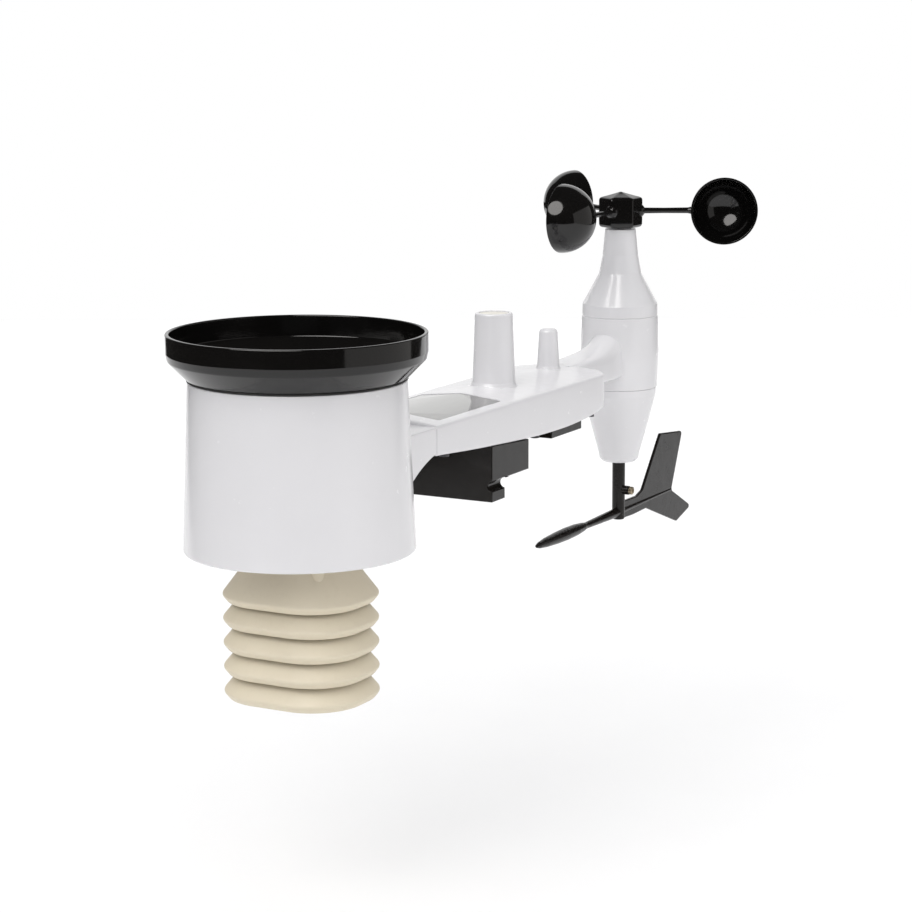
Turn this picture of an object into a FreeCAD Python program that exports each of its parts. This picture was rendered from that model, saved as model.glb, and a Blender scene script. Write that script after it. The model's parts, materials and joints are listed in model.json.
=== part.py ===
import FreeCAD, Part
import math
import os

import Sketcher

# Pole-mounted weather sensor array: rain gauge and radiation shield on one side of the pole,
# cup anemometer and wind vane on the other, joined by a hollow arm with a solar window.
# The origin lies on the pole's axis, at the stop that the pole's end meets. X runs along the arm
# towards the wind mast, Z is up. All sizes are millimetres and live in the sheet.

doc = FreeCAD.newDocument("weather_array")
sheet = doc.addObject("Spreadsheet::Sheet", "sheet")

SIZES = {
    # places of the two vertical axes
    "rain_x": -183.0, "mast_x": 209.0,
    # funnel
    "rim_radius": 68.0, "rim_top": 88.0, "rim_wall": 2.2, "band_foot": 74.2, "cone_start": 76.5,
    "seat_z": 64.6, "seat_radius": 58.2, "skirt_radius": 51.6, "skirt_wall": 2.0, "skirt_foot": 52.0,
    "spout_bore": 4.6, "spout_radius": 6.8, "spout_foot": 22.0, "cone_foot": 31.0,
    "lug_reach": 2.4, "lug_foot": 53.8, "lug_tall": 3.0, "lug_angle": 10.0, "notch_angle": 18.0,
    "seal_inner": 52.5, "seal_outer": 57.6, "seal_foot": 63.3, "seal_tall": 1.2,
    # rain housing and its neck
    "housing_top": 63.2, "housing_foot": -26.6, "housing_top_r": 57.1, "housing_foot_r": 60.9,
    "shell": 2.2, "ledge_foot": 58.0, "ledge_tall": 2.0, "ledge_bore": 52.0, "ledge_outer": 55.6,
    "neck_half": 32.4, "neck_top": 26.6, "neck_wall": 2.4,
    "base_foot": -24.0, "base_tall": 2.0, "base_radius": 58.3,
    # tipping bucket
    "pivot_z": -6.0, "bucket_tilt": 15.0, "bucket_half": 30.0, "bucket_wide": 22.0,
    "axle_radius": 1.0, "axle_long": 30.0,
    # radiation shield
    "plate_half_x": 34.5, "plate_half_y": 40.5, "plate_corner": 29.5, "ring_top": -50.2,
    "ring_pitch": 13.05, "ring_rise": 9.0, "ring_slope": 7.5, "lip_drop": 4.6, "lip_inset": 1.8,
    "plate_wall": 1.6, "tie_radius": 1.5, "tie_x": 18.0, "tie_y": 22.0,
    # arm
    "arm_start": -94.0, "arm_end": 125.7, "arm_half": 33.0, "arm_round": 12.0, "ridge_z": 30.5,
    "eave_z": 27.07, "arm_wall": 2.2, "floor_wall": 2.0,
    "window_start": -80.0, "window_end": -6.4, "window_half": 26.0, "window_tall": 1.2,
    "post_x": 34.2, "post_foot_r": 13.2, "post_top_r": 11.5, "post_top": 71.0,
    "stub_x": 105.8, "stub_foot_r": 7.3, "stub_top_r": 5.8, "stub_top": 54.3,
    # battery bay under the arm
    "bay_start": 52.5, "bay_end": 93.4, "bay_half": 29.4, "door_foot": -3.5, "door_gap": 0.25,
    "cell_radius": 7.1, "cell_long": 50.0, "cell_z": 12.6, "cell_a": 63.4, "cell_b": 82.6,
    # pole bracket
    "pole_radius": 25.4, "plate_back": -30.4, "plate_front": -14.6, "plate_foot": -26.9,
    "block_front": 15.4, "block_foot": -14.8, "notch_radius": 3.0, "notch_z": -17.6, "notch_y": 31.6,
    # wind mast
    "mast_radius": 24.4, "mast_wall": 2.4, "mast_foot": 4.4, "mast_top": 51.1, "duct_half": 12.0,
    "shaft_radius": 2.0, "bearing_radius": 5.0, "race_gap": 0.05,
    # cup rotor
    "hub_foot": 109.7, "hub_tall": 17.4, "hub_radius": 14.2, "hub_peak": 3.5, "rotor_z": 118.5,
    "cup_arm": 66.0, "cup_radius": 21.6, "cup_wall": 1.4, "cup_rim": 21.75, "cup_rim_wide": 1.6,
    "rod_radius": 1.9, "rod_root": 9.0, "cup_offset": 8.0,
    # wind vane
    "vane_z": -79.5, "vane_tube": 3.9, "vane_foot": -84.2, "vane_head": -46.2, "boom_radius": 1.7,
    "nose_back": -52.0, "nose_tip": -119.0, "nose_radius": 2.9, "tail_thick": 2.0,
}
ROW = 1
for alias, number in SIZES.items():
    sheet.set("A%d" % ROW, alias)
    sheet.set("B%d" % ROW, str(number))
    sheet.setAlias("B%d" % ROW, alias)
    ROW += 1
doc.recompute()


class Size:
    """A number that also knows the sheet expression it comes from."""

    def __init__(self, text, value):
        self.text = text
        self.value = value

    def _join(self, sign, other, value):
        return Size("(%s %s %s)" % (self.text, sign, as_size(other).text), value)

    def __add__(self, other):
        return self._join("+", other, self.value + as_size(other).value)

    def __sub__(self, other):
        return self._join("-", other, self.value - as_size(other).value)

    def __mul__(self, other):
        return self._join("*", other, self.value * as_size(other).value)

    def __truediv__(self, other):
        return self._join("/", other, self.value / as_size(other).value)


def as_size(item):
    if isinstance(item, Size):
        return item
    return Size("(%s)" % repr(float(item)), float(item))


class Sheet:
    """S.rim_radius is the sheet cell of that alias."""

    def __getattr__(self, alias):
        return Size("sheet.%s" % alias, SIZES[alias])


S = Sheet()
ZERO = as_size(0)
NODES = []


def place(item, x=0, y=0, z=0, axis=None, angle=0):
    """Placement with its base bound to the sheet, turned by a fixed angle about an axis."""
    x, y, z = as_size(x), as_size(y), as_size(z)
    turn = FreeCAD.Rotation(FreeCAD.Vector(*(axis or (0, 0, 1))), angle)
    item.Placement = FreeCAD.Placement(FreeCAD.Vector(x.value, y.value, z.value), turn)
    for part, size in (("x", x), ("y", y), ("z", z)):
        if "sheet." in size.text:
            item.setExpression("Placement.Base." + part, size.text)
    return item


def bound(item, **sizes):
    for prop, size in sizes.items():
        size = as_size(size)
        setattr(item, prop, size.value)
        if "sheet." in size.text:
            item.setExpression(prop, size.text)
    return item


def named(kind, label):
    item = doc.addObject(kind, label)
    item.Label = label
    return item


def cylinder(label, radius, height, x=0, y=0, z=0, axis=None, angle=0):
    item = bound(named("Part::Cylinder", label), Radius=radius, Height=height)
    return place(item, x, y, z, axis, angle)


def sector(label, radius, height, span, x, z, middle):
    item = bound(named("Part::Cylinder", label), Radius=radius, Height=height, Angle=span)
    return place(item, x, 0, z, (0, 0, 1), middle - as_size(span).value / 2)


def cone(label, foot, top, height, x=0, y=0, z=0):
    item = bound(named("Part::Cone", label), Radius1=foot, Radius2=top, Height=height)
    return place(item, x, y, z)


def box(label, x0, x1, y0, y1, z0, z1):
    x0, x1, y0, y1, z0, z1 = [as_size(v) for v in (x0, x1, y0, y1, z0, z1)]
    item = bound(named("Part::Box", label), Length=x1 - x0, Width=y1 - y0, Height=z1 - z0)
    return place(item, x0, y0, z0)


def fuse(label, *items):
    item = named("Part::MultiFuse", label)
    item.Shapes = list(items)
    return item


def common(label, *items):
    item = named("Part::MultiCommon", label)
    item.Shapes = list(items)
    return item


def cut(label, base, *tools):
    tool = tools[0] if len(tools) == 1 else fuse(label + "_tools", *tools)
    item = named("Part::Cut", label)
    item.Base = base
    item.Tool = tool
    return item


def node(item):
    NODES.append(item)
    return item


def origin_plane(body, role):
    for feature in body.Origin.OriginFeatures:
        if feature.Role == role:
            return feature
    raise ValueError(role)


def outline(body, role, points, left, low):
    """A closed polygon on an origin plane, every corner bound to the sheet."""
    sketch = body.newObject("Sketcher::SketchObject", body.Name + "_outline")
    sketch.AttachmentSupport = [(origin_plane(body, role), "")]
    sketch.MapMode = "FlatFace"
    left, low = as_size(left), as_size(low)
    corners = [(as_size(u) - left, as_size(v) - low) for u, v in points]
    count = len(corners)
    for i in range(count):
        a, b = corners[i], corners[(i + 1) % count]
        start = FreeCAD.Vector(a[0].value, a[1].value, 0)
        end = FreeCAD.Vector(b[0].value, b[1].value, 0)
        sketch.addGeometry(Part.LineSegment(start, end), False)
    for i in range(count):
        sketch.addConstraint(Sketcher.Constraint("Coincident", i, 2, (i + 1) % count, 1))
    for i, (u, v) in enumerate(corners):
        for kind, size, line in (("DistanceX", u, -2), ("DistanceY", v, -1)):
            if abs(size.value) < 1e-9:
                sketch.addConstraint(Sketcher.Constraint("PointOnObject", i, 1, line))
                continue
            index = sketch.addConstraint(Sketcher.Constraint(kind, -1, 1, i, 1, size.value))
            sketch.setExpression("Constraints[%d]" % index, size.text)
    return sketch


def turned(label, points, x, low):
    """A body of revolution about a vertical axis through x; points are (radius, z)."""
    body = named("PartDesign::Body", label)
    sketch = outline(body, "XZ_Plane", points, 0, low)
    solid = body.newObject("PartDesign::Revolution", label + "_turn")
    solid.Profile = sketch
    solid.ReferenceAxis = (sketch, ["V_Axis"])
    solid.Angle = 360
    body.Tip = solid
    return place(body, x, 0, low)


def side_slab(label, points, half, left, low):
    """An outline in X and Z, padded symmetrically across Y."""
    body = named("PartDesign::Body", label)
    sketch = outline(body, "XZ_Plane", points, left, low)
    solid = bound(body.newObject("PartDesign::Pad", label + "_pad"), Length=as_size(half) * 2)
    solid.Profile = sketch
    body.Tip = solid
    return place(body, left, half, low)


def gable(label, start, long, half, lowered):
    """The roof-shaped section of the arm, lowered by an amount, from well below up to the ridge."""
    slope = (S.ridge_z - S.eave_z) / S.arm_half
    half = as_size(half)
    eave = S.ridge_z - slope * half - lowered
    points = [(ZERO, ZERO), (half * 2, ZERO), (half * 2, eave), (half, S.ridge_z - lowered),
              (ZERO, eave)]
    body = named("PartDesign::Body", label)
    sketch = outline(body, "YZ_Plane", points, 0, 0)
    solid = bound(body.newObject("PartDesign::Pad", label + "_pad"), Length=long)
    solid.Profile = sketch
    body.Tip = solid
    return place(body, start, ZERO - half, 0)


# ---------------------------------------------------------------- funnel
CONE_FALL = (S.cone_start - S.cone_foot) / (S.rim_radius - S.rim_wall - S.spout_bore)
CONE_THICK = as_size(2.4)
SKIRT_INNER = S.skirt_radius - S.skirt_wall
funnel_profile = turned("funnel_profile", [
    (S.spout_bore, S.spout_foot),
    (S.spout_radius, S.spout_foot),
    (S.spout_radius, S.cone_foot + CONE_FALL * (S.spout_radius - S.spout_bore) - CONE_THICK),
    (SKIRT_INNER, S.cone_foot + CONE_FALL * (SKIRT_INNER - S.spout_bore) - CONE_THICK),
    (SKIRT_INNER, S.skirt_foot),
    (S.skirt_radius, S.skirt_foot),
    (S.skirt_radius, S.seat_z),
    (S.seat_radius, S.seat_z),
    (S.rim_radius - 0.6, S.band_foot),
    (S.rim_radius, S.band_foot + 1.2),
    (S.rim_radius, S.rim_top),
    (S.rim_radius - S.rim_wall, S.rim_top),
    (S.rim_radius - S.rim_wall - 0.6, S.cone_start),
    (S.spout_bore, S.cone_foot),
], S.rain_x, S.spout_foot)
LUG_PLACES = (90, 210, 330)
lugs = []
for i, middle in enumerate(LUG_PLACES):
    outer = sector("lug_outer_%d" % i, S.skirt_radius + S.lug_reach, S.lug_tall, S.lug_angle,
                   S.rain_x, S.lug_foot, middle)
    inner = cylinder("lug_core_%d" % i, S.skirt_radius - 1, S.lug_tall, S.rain_x, 0, S.lug_foot)
    lugs.append(cut("lug_%d" % i, outer, inner))
node(fuse("funnel", funnel_profile, *lugs))

node(cut("funnel_seal",
         cylinder("seal_disc", S.seal_outer, S.seal_tall, S.rain_x, 0, S.seal_foot),
         cylinder("seal_bore", S.seal_inner, S.seal_tall, S.rain_x, 0, S.seal_foot)))

# ---------------------------------------------------------------- debris screen in the funnel
SCREEN_Z = as_size(37.6)
STEM_Z = as_size(26.0)
screen_disc = turned("screen_profile", [
    (0, STEM_Z), (1.8, STEM_Z), (1.8, SCREEN_Z), (13.2, SCREEN_Z), (13.2, SCREEN_Z + 1.4),
    (3.0, SCREEN_Z + 1.4), (2.0, SCREEN_Z + 8), (0, SCREEN_Z + 8),
], S.rain_x, STEM_Z)
screen_holes = []
for i in range(8):
    around = math.radians(45 * i)
    screen_holes.append(cylinder("screen_hole_%d" % i, 2.0, 4, S.rain_x + 9.2 * math.cos(around),
                                 9.2 * math.sin(around), SCREEN_Z - 1))
node(cut("debris_screen", screen_disc, *screen_holes))

# ---------------------------------------------------------------- rain housing
housing_tall = S.housing_top - S.housing_foot
housing_outer = cone("housing_outer", S.housing_foot_r, S.housing_top_r, housing_tall,
                     S.rain_x, 0, S.housing_foot)
housing_inner = cone("housing_inner", S.housing_foot_r - S.shell, S.housing_top_r - S.shell,
                     housing_tall, S.rain_x, 0, S.housing_foot)
GUSSET_ROOT = as_size(-134.0)
GUSSET_FOOT = as_size(-10.0)
# the neck is a closed box as wide as the arm, whose underside curves down to the housing's wall
neck_outer = side_slab("neck_outer", [
    (GUSSET_ROOT, S.neck_top), (S.arm_start, S.neck_top), (S.arm_start, 10.8), (-101.0, 8.8),
    (-107.2, 6.7), (-113.5, 3.9), (-119.5, 0.6), (-126.0, -3.8), (GUSSET_ROOT, GUSSET_FOOT),
], S.neck_half, GUSSET_ROOT, GUSSET_FOOT)
neck_hollow = side_slab("neck_hollow", [
    (GUSSET_ROOT, S.neck_top - S.neck_wall), (S.arm_start - S.neck_wall, S.neck_top - S.neck_wall),
    (S.arm_start - S.neck_wall, 12.6), (-108.0, 9.0), (-120.0, 3.0), (GUSSET_ROOT, -6.4),
], S.neck_half - S.neck_wall, GUSSET_ROOT, -6.4)
ledge = cut("ledge_ring",
            cylinder("ledge_disc", S.ledge_outer, S.ledge_tall, S.rain_x, 0, S.ledge_foot),
            cylinder("ledge_hole", S.ledge_bore, S.ledge_tall, S.rain_x, 0, S.ledge_foot),
            *[sector("ledge_notch_%d" % i, S.skirt_radius + S.lug_reach + 0.6, S.ledge_tall,
                     S.notch_angle, S.rain_x, S.ledge_foot, middle)
              for i, middle in enumerate(LUG_PLACES)])
BASE_SCREWS = (30, 150, 270)
BOSS_REACH = 54.5
bosses = []
pilots = []
for i, around in enumerate(BASE_SCREWS):
    bx = S.rain_x + BOSS_REACH * math.cos(math.radians(around))
    by = BOSS_REACH * math.sin(math.radians(around))
    bosses.append(cylinder("housing_boss_%d" % i, 5.0, 14, bx, by,
                           S.base_foot + S.base_tall + 0.1))
    pilots.append(cylinder("housing_pilot_%d" % i, 1.25, 13, bx, by, -23.0))
duct_hole = box("duct_hole", GUSSET_ROOT, S.arm_start, -9.0, 9.0, 13.0, 20.0)
housing_shell = cut("housing_shell",
                    cut("housing_hollowed",
                        fuse("housing_solid", housing_outer,
                             cut("neck_shell", neck_outer, neck_hollow)), housing_inner),
                    duct_hole)
boss_blend = common("boss_blend", fuse("boss_set", *bosses), housing_outer)
node(cut("rain_housing", fuse("housing_full", housing_shell, ledge, boss_blend), *pilots))

# ---------------------------------------------------------------- floor of the rain gauge
DRAIN_REACH = 34.0
DRAIN_RADIUS = 6.0
floor_disc = cylinder("floor_disc", S.base_radius, S.base_tall, S.rain_x, 0, S.base_foot)
drain_holes = [cylinder("drain_%d" % i, DRAIN_RADIUS, 4, S.rain_x + side * DRAIN_REACH, 0,
                        S.base_foot - 1) for i, side in enumerate((-1, 1))]
screw_holes = []
screws = []
for i, around in enumerate(BASE_SCREWS):
    bx = S.rain_x + BOSS_REACH * math.cos(math.radians(around))
    by = BOSS_REACH * math.sin(math.radians(around))
    screw_holes.append(cylinder("floor_screw_hole_%d" % i, 1.6, 4, bx, by, S.base_foot - 1))
    shank = cylinder("floor_screw_shank_%d" % i, 1.25, 12, bx, by, S.base_foot)
    head = cylinder("floor_screw_head_%d" % i, 2.9, 1.8, bx, by, S.base_foot - 1.8)
    screws.append(fuse("floor_screw_%d" % i, shank, head))
node(cut("rain_base", floor_disc, *drain_holes, *screw_holes))
node(fuse("rain_base_screws", *screws))
sieves = []
for i, side in enumerate((-1, 1)):
    dx = S.rain_x + side * DRAIN_REACH
    disc = cylinder("sieve_disc_%d" % i, DRAIN_RADIUS + 1.5, 0.8, dx, 0, S.base_foot + S.base_tall)
    holes = [cylinder("sieve_hole_%d_%d" % (i, k), 1.1, 3,
                      dx + 3.6 * math.cos(math.radians(60 * k)),
                      3.6 * math.sin(math.radians(60 * k)), S.base_foot + 1) for k in range(6)]
    sieves.append(cut("sieve_%d" % i, disc, *holes))
node(fuse("drain_screens", *sieves))

# ---------------------------------------------------------------- tipping bucket
FLOOR_TOP = S.base_foot + S.base_tall
vee = side_slab("bucket_vee", [
    (S.rain_x - S.bucket_half, S.pivot_z + 5.7),
    (S.rain_x, S.pivot_z + 2.0),
    (S.rain_x + S.bucket_half, S.pivot_z + 5.7),
    (S.rain_x + S.bucket_half, S.pivot_z + 7.1),
    (S.rain_x + 0.7, S.pivot_z + 3.5),
    (S.rain_x + 0.7, S.pivot_z + 19.5),
    (S.rain_x - 0.7, S.pivot_z + 19.5),
    (S.rain_x - 0.7, S.pivot_z + 3.5),
    (S.rain_x - S.bucket_half, S.pivot_z + 7.1),
], S.bucket_wide / 2, S.rain_x - S.bucket_half, S.pivot_z + 2.0)
walls = []
for i, side in enumerate((-1, 1)):
    wall = side_slab("bucket_wall_%d" % i, [
        (S.rain_x - S.bucket_half, S.pivot_z + 5.7),
        (S.rain_x, S.pivot_z + 2.0),
        (S.rain_x + S.bucket_half, S.pivot_z + 5.7),
        (S.rain_x + S.bucket_half, S.pivot_z + 7.6),
        (S.rain_x, S.pivot_z + 19.5),
        (S.rain_x - S.bucket_half, S.pivot_z + 7.6),
    ], 0.6, S.rain_x - S.bucket_half, S.pivot_z + 2.0)
    walls.append(place(wall, S.rain_x - S.bucket_half, side * 10.4 + 0.6, S.pivot_z + 2.0))
knuckle = cylinder("bucket_knuckle", 3.0, 25.4, S.rain_x, 12.7, S.pivot_z, (1, 0, 0), 90)
bore = cylinder("bucket_bore", S.axle_radius, 30, S.rain_x, 15, S.pivot_z, (1, 0, 0), 90)
level_bucket = cut("level_bucket", fuse("bucket_solid", vee, knuckle, *walls), bore)
magnet = cylinder("level_magnet", 2.0, 1.9, S.rain_x, 12.9, S.pivot_z + 9.0, (1, 0, 0), 90)


def tilted(label, item):
    """Turns a level piece about the bucket's pivot, to where it rests on one stop."""
    copy = named("Part::MultiFuse", label)
    copy.Shapes = [item, item]
    pivot = FreeCAD.Vector(S.rain_x.value, 0, S.pivot_z.value)
    turn = FreeCAD.Rotation(FreeCAD.Vector(0, 1, 0), -S.bucket_tilt.value)
    copy.Placement = FreeCAD.Placement(pivot - turn.multVec(pivot), turn)
    return copy


node(tilted("tipping_bucket", level_bucket))
node(tilted("bucket_magnet", magnet))
node(cylinder("bucket_axle", S.axle_radius, S.axle_long, S.rain_x, S.axle_long / 2, S.pivot_z,
              (1, 0, 0), 90))
frame_foot = box("frame_foot", S.rain_x - 22, S.rain_x + 22, -15.2, 15.2, FLOOR_TOP, FLOOR_TOP + 1.6)
cheeks = [box("frame_cheek_%d" % i, S.rain_x - 7, S.rain_x + 7, y0, y0 + 2.2, FLOOR_TOP,
              S.pivot_z + 4) for i, y0 in enumerate((-15.2, 13.0))]
STOP_TALL = 14.9
stops = [box("frame_stop_%d" % i, S.rain_x + side * 20 - 1.2, S.rain_x + side * 20 + 1.2, -6, 6,
             FLOOR_TOP, FLOOR_TOP + STOP_TALL) for i, side in enumerate((-1, 1))]
frame_bore = cylinder("frame_bore", S.axle_radius + S.race_gap, 34, S.rain_x, 17, S.pivot_z,
                      (1, 0, 0), 90)
node(cut("bucket_frame", fuse("frame_solid", frame_foot, *cheeks, *stops), frame_bore))
node(box("reed_switch_board", S.rain_x - 9, S.rain_x + 9, 15.4, 17.0, FLOOR_TOP + 0.1,
         S.pivot_z + 13))

# ---------------------------------------------------------------- radiation shield


def rounded(inset, z):
    """The plates' rounded-rectangle outline at a height, drawn in by an inset."""
    hx = S.plate_half_x.value - inset
    hy = S.plate_half_y.value - inset
    r = S.plate_corner.value - inset
    r = max(r, 3.0)
    cx, cy = S.rain_x.value, 0.0
    edges = []
    corners = [(1, 1, 0), (-1, 1, 90), (-1, -1, 180), (1, -1, 270)]
    for sx, sy, start in corners:
        ox, oy = cx + sx * (hx - r), cy + sy * (hy - r)
        arc_points = []
        for turn in (0, 45, 90):
            a = math.radians(start + turn)
            arc_points.append(FreeCAD.Vector(ox + r * math.cos(a), oy + r * math.sin(a), z))
        edges.append(Part.Arc(*arc_points).toShape())
    wire = []
    for i, arc in enumerate(edges):
        wire.append(arc)
        end = arc.Vertexes[-1].Point
        begin = edges[(i + 1) % 4].Vertexes[0].Point
        wire.append(Part.LineSegment(end, begin).toShape())
    return Part.Wire(Part.__sortEdges__(wire))


def skin(stations):
    """A solid through outlines at (inset, z) stations, straight between them."""
    return Part.makeLoft([rounded(inset, z) for inset, z in stations], True, True)


def rods(radius, z0, z1):
    solids = []
    for sx in (-1, 1):
        for sy in (-1, 1):
            base = FreeCAD.Vector(S.rain_x.value + sx * S.tie_x.value, sy * S.tie_y.value, z0)
            solids.append(Part.makeCylinder(radius, z1 - z0, base))
    return solids


def shape_node(label, shape):
    item = named("Part::Feature", label)
    item.Shape = shape
    item.Placement = FreeCAD.Placement()
    return node(item)


wall = S.plate_wall.value
PASSAGE = 22.5
TOP_Z = S.base_foot.value - 0.1
CONE_SLOPE = 0.756
RING_COUNT = 5
ring_z = [S.ring_top.value - S.ring_pitch.value * i for i in range(RING_COUNT)]
top_inset = (TOP_Z - ring_z[0]) * CONE_SLOPE
lip_z = ring_z[0] - S.lip_drop.value
crown_outer = skin([(top_inset, TOP_Z), (0, ring_z[0]), (S.lip_inset.value, lip_z)])
crown_inner = skin([(top_inset + wall * 1.3, TOP_Z - wall), (wall * 1.25, ring_z[0]),
                    (S.lip_inset.value + wall * 1.25, lip_z - 0.01)])
crown = crown_outer.cut(crown_inner)
web_z = ring_z[0] + S.ring_rise.value - S.ring_pitch.value
ties = rods(S.tie_radius.value, ring_z[-1] + S.ring_rise.value - wall - 2.0, TOP_Z - wall)
post_set = rods(3.2, web_z + 0.02, TOP_Z - wall + 0.5)
crown = crown.fuse([p.common(crown_outer) for p in post_set]).cut(ties)
shape_node("shield_crown", crown.removeSplitter())
spacers = []
for i in range(1, RING_COUNT):
    z = ring_z[i]
    top = z + S.ring_rise.value
    outer = skin([(S.ring_slope.value, top), (0, z), (S.lip_inset.value, z - S.lip_drop.value)])
    inner = skin([(S.ring_slope.value + wall, top - wall), (wall * 1.2, z),
                  (S.lip_inset.value + wall * 1.2, z - S.lip_drop.value - 0.01)])
    passage = skin([(PASSAGE, top + 1), (PASSAGE, top - wall - 1)])
    plate = outer.cut([inner, passage] + ties)
    shape_node("shield_louvre_%d" % i, plate)
    if i < RING_COUNT - 1:
        below = ring_z[i + 1] + S.ring_rise.value
        spacers += [tube.cut(tie) for tube, tie in
                    zip(rods(3.0, below, top - wall), ties)]
shape_node("shield_spacers", Part.makeCompound(spacers))
shape_node("shield_ties", Part.makeCompound(ties))

node(box("climate_board", S.rain_x - 6, S.rain_x + 6, -0.8, 0.8, -84, TOP_Z - wall - 0.2))
filter_cap = cylinder("filter_outer", 6.5, 14, S.rain_x, 0, -94)
filter_slot = box("filter_slot", S.rain_x - 6.1, S.rain_x + 6.1, -0.9, 0.9, -84.1, -79.9)
node(cut("climate_filter", filter_cap, filter_slot))

# ---------------------------------------------------------------- arm, upper shell
UNDERSIDE = [(S.arm_end, 10.0), (119.0, 6.5), (104.0, 3.6), (64.0, 1.8), (22.0, 2.4), (-13.0, 4.7),
             (S.arm_start, 10.4)]
arm_side = side_slab("arm_side", [(S.arm_start, 34.0), (S.arm_end, 34.0)] + UNDERSIDE,
                     S.arm_half, S.arm_start, 1.8)
arm_long = S.arm_end - S.arm_start
arm_roof = gable("arm_roof", S.arm_start, arm_long, S.arm_half, 0)
plan_main = box("plan_main", S.arm_start, S.arm_end - S.arm_round, ZERO - S.arm_half, S.arm_half,
                0, 40)
plan_end = box("plan_end", S.arm_end - S.arm_round - 5, S.arm_end, S.arm_round - S.arm_half,
               S.arm_half - S.arm_round, 0, 40)
plan_corners = [cylinder("plan_corner_%d" % i, S.arm_round, 40, S.arm_end - S.arm_round,
                         (S.arm_half - S.arm_round) * side, 0) for i, side in enumerate((-1, 1))]
arm_plan = fuse("arm_plan", plan_main, plan_end, *plan_corners)
arm_solid = common("arm_solid", arm_side, arm_roof, arm_plan)
hollow_main = box("hollow_main", S.arm_start + S.arm_wall, S.arm_end - S.arm_round - 2,
                  S.arm_wall - S.arm_half, S.arm_half - S.arm_wall, -2, 40)
hollow_end = box("hollow_end", S.arm_end - S.arm_round - 3, S.arm_end - S.arm_wall, -19, 19, 12, 40)
hollow_roof = gable("hollow_roof", S.arm_start, arm_long, S.arm_half, S.arm_wall)
hollow_low = box("hollow_low", S.arm_start, S.arm_end, ZERO - S.arm_half, S.arm_half, -2, 5)
arm_hollow = common("arm_hollow", fuse("hollow_plan", hollow_main, hollow_end),
                    fuse("hollow_tall", hollow_roof, hollow_low))
large_post = cone("large_post", S.post_foot_r, S.post_top_r, S.post_top - 28.2, S.post_x, 0, 28.2)
small_post = cone("small_post", S.stub_foot_r, S.stub_top_r, S.stub_top - 28.2, S.stub_x, 0, 28.2)
ARM_SCREWS = [(x, side * 28.4) for x in (-78.0, 32.0, 106.0) for side in (-1, 1)]
BRACKET_SCREWS = [(x, side * 28.6) for x in (-6.0, 9.0) for side in (-1, 1)]
BOSS_FOOT = {-78.0: 12.2, -6.0: 6.8, 9.0: 5.9, 32.0: 4.8, 106.0: 7.3}
BOSS_TOP = 20.0
arm_bosses = [common("arm_boss_%d" % i,
                     cylinder("arm_boss_rod_%d" % i, 3.4, BOSS_TOP - BOSS_FOOT[x], x, y,
                              BOSS_FOOT[x]),
                     arm_plan) for i, (x, y) in enumerate(ARM_SCREWS + BRACKET_SCREWS)]
window_cut = cut("window_recess",
                 box("window_block", S.window_start - 0.1, S.window_end + 0.1,
                     ZERO - S.window_half - 0.1, S.window_half + 0.1, 15, 40),
                 gable("window_bed", S.arm_start, arm_long, S.arm_half, S.window_tall + 0.35))
window_hole = box("window_hole", S.window_start + 2, S.window_end - 2, 2 - S.window_half.value,
                  S.window_half - 2, 15, 40)
post_hollow = cone("post_hollow", S.post_foot_r - 2, S.post_top_r - 2, S.post_top - 26.1, S.post_x,
                   0, 26.0)
stub_hollow = cone("stub_hollow", S.stub_foot_r - 1.8, S.stub_top_r - 1.8, S.stub_top - 28.0,
                   S.stub_x, 0, 26.0)
post_seat = cylinder("post_seat", S.post_top_r - 1.3, 2, S.post_x, 0, S.post_top - 1.5)
boss_pilots = [cylinder("arm_pilot_%d" % i, 1.25, BOSS_TOP - BOSS_FOOT[x] - 1, x, y,
                        BOSS_FOOT[x] - 0.5) for i, (x, y) in enumerate(ARM_SCREWS)]
boss_pilots += [cylinder("grip_pilot_%d" % i, 1.5, 8, x, y, BOSS_FOOT[x] - 0.5)
                for i, (x, y) in enumerate(BRACKET_SCREWS)]
duct_window = box("duct_window", S.arm_end - 3, S.arm_end + 1, -9.0, 9.0, 15.8, 26.0)
neck_window = box("neck_window", S.arm_start - 1, S.arm_start + 3, -9.0, 9.0, 13.0, 20.0)
node(cut("arm_top", fuse("arm_full", cut("arm_shell", arm_solid, arm_hollow), large_post,
                         small_post, *arm_bosses),
         window_cut, window_hole, post_hollow, stub_hollow, post_seat, duct_window, neck_window,
         *boss_pilots))
node(cut("solar_window",
         common("window_sheet",
                box("window_outline", S.window_start, S.window_end, ZERO - S.window_half,
                    S.window_half, 15, 40),
                gable("window_upper", S.arm_start, arm_long, S.arm_half, 0.3)),
         gable("window_lower", S.arm_start, arm_long, S.arm_half, S.window_tall + 0.3)))
node(cut("solar_cell",
         common("cell_sheet",
                box("cell_outline", S.window_start + 2.4, S.window_end - 2.4, -23.5, 23.5, 15, 40),
                gable("cell_upper", S.arm_start, arm_long, S.arm_half, 1.7)),
         gable("cell_lower", S.arm_start, arm_long, S.arm_half, 2.2)))
node(cylinder("light_diffuser", S.post_top_r - 1.4, 1.4, S.post_x, 0, S.post_top - 1.4))
node(cylinder("light_sensor_board", S.post_top_r - 3.0, 1.2, S.post_x, 0, S.post_top - 6.0))
node(cylinder("antenna_rod", 1.6, 26.0, S.stub_x, 0, 25.0))

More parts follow.
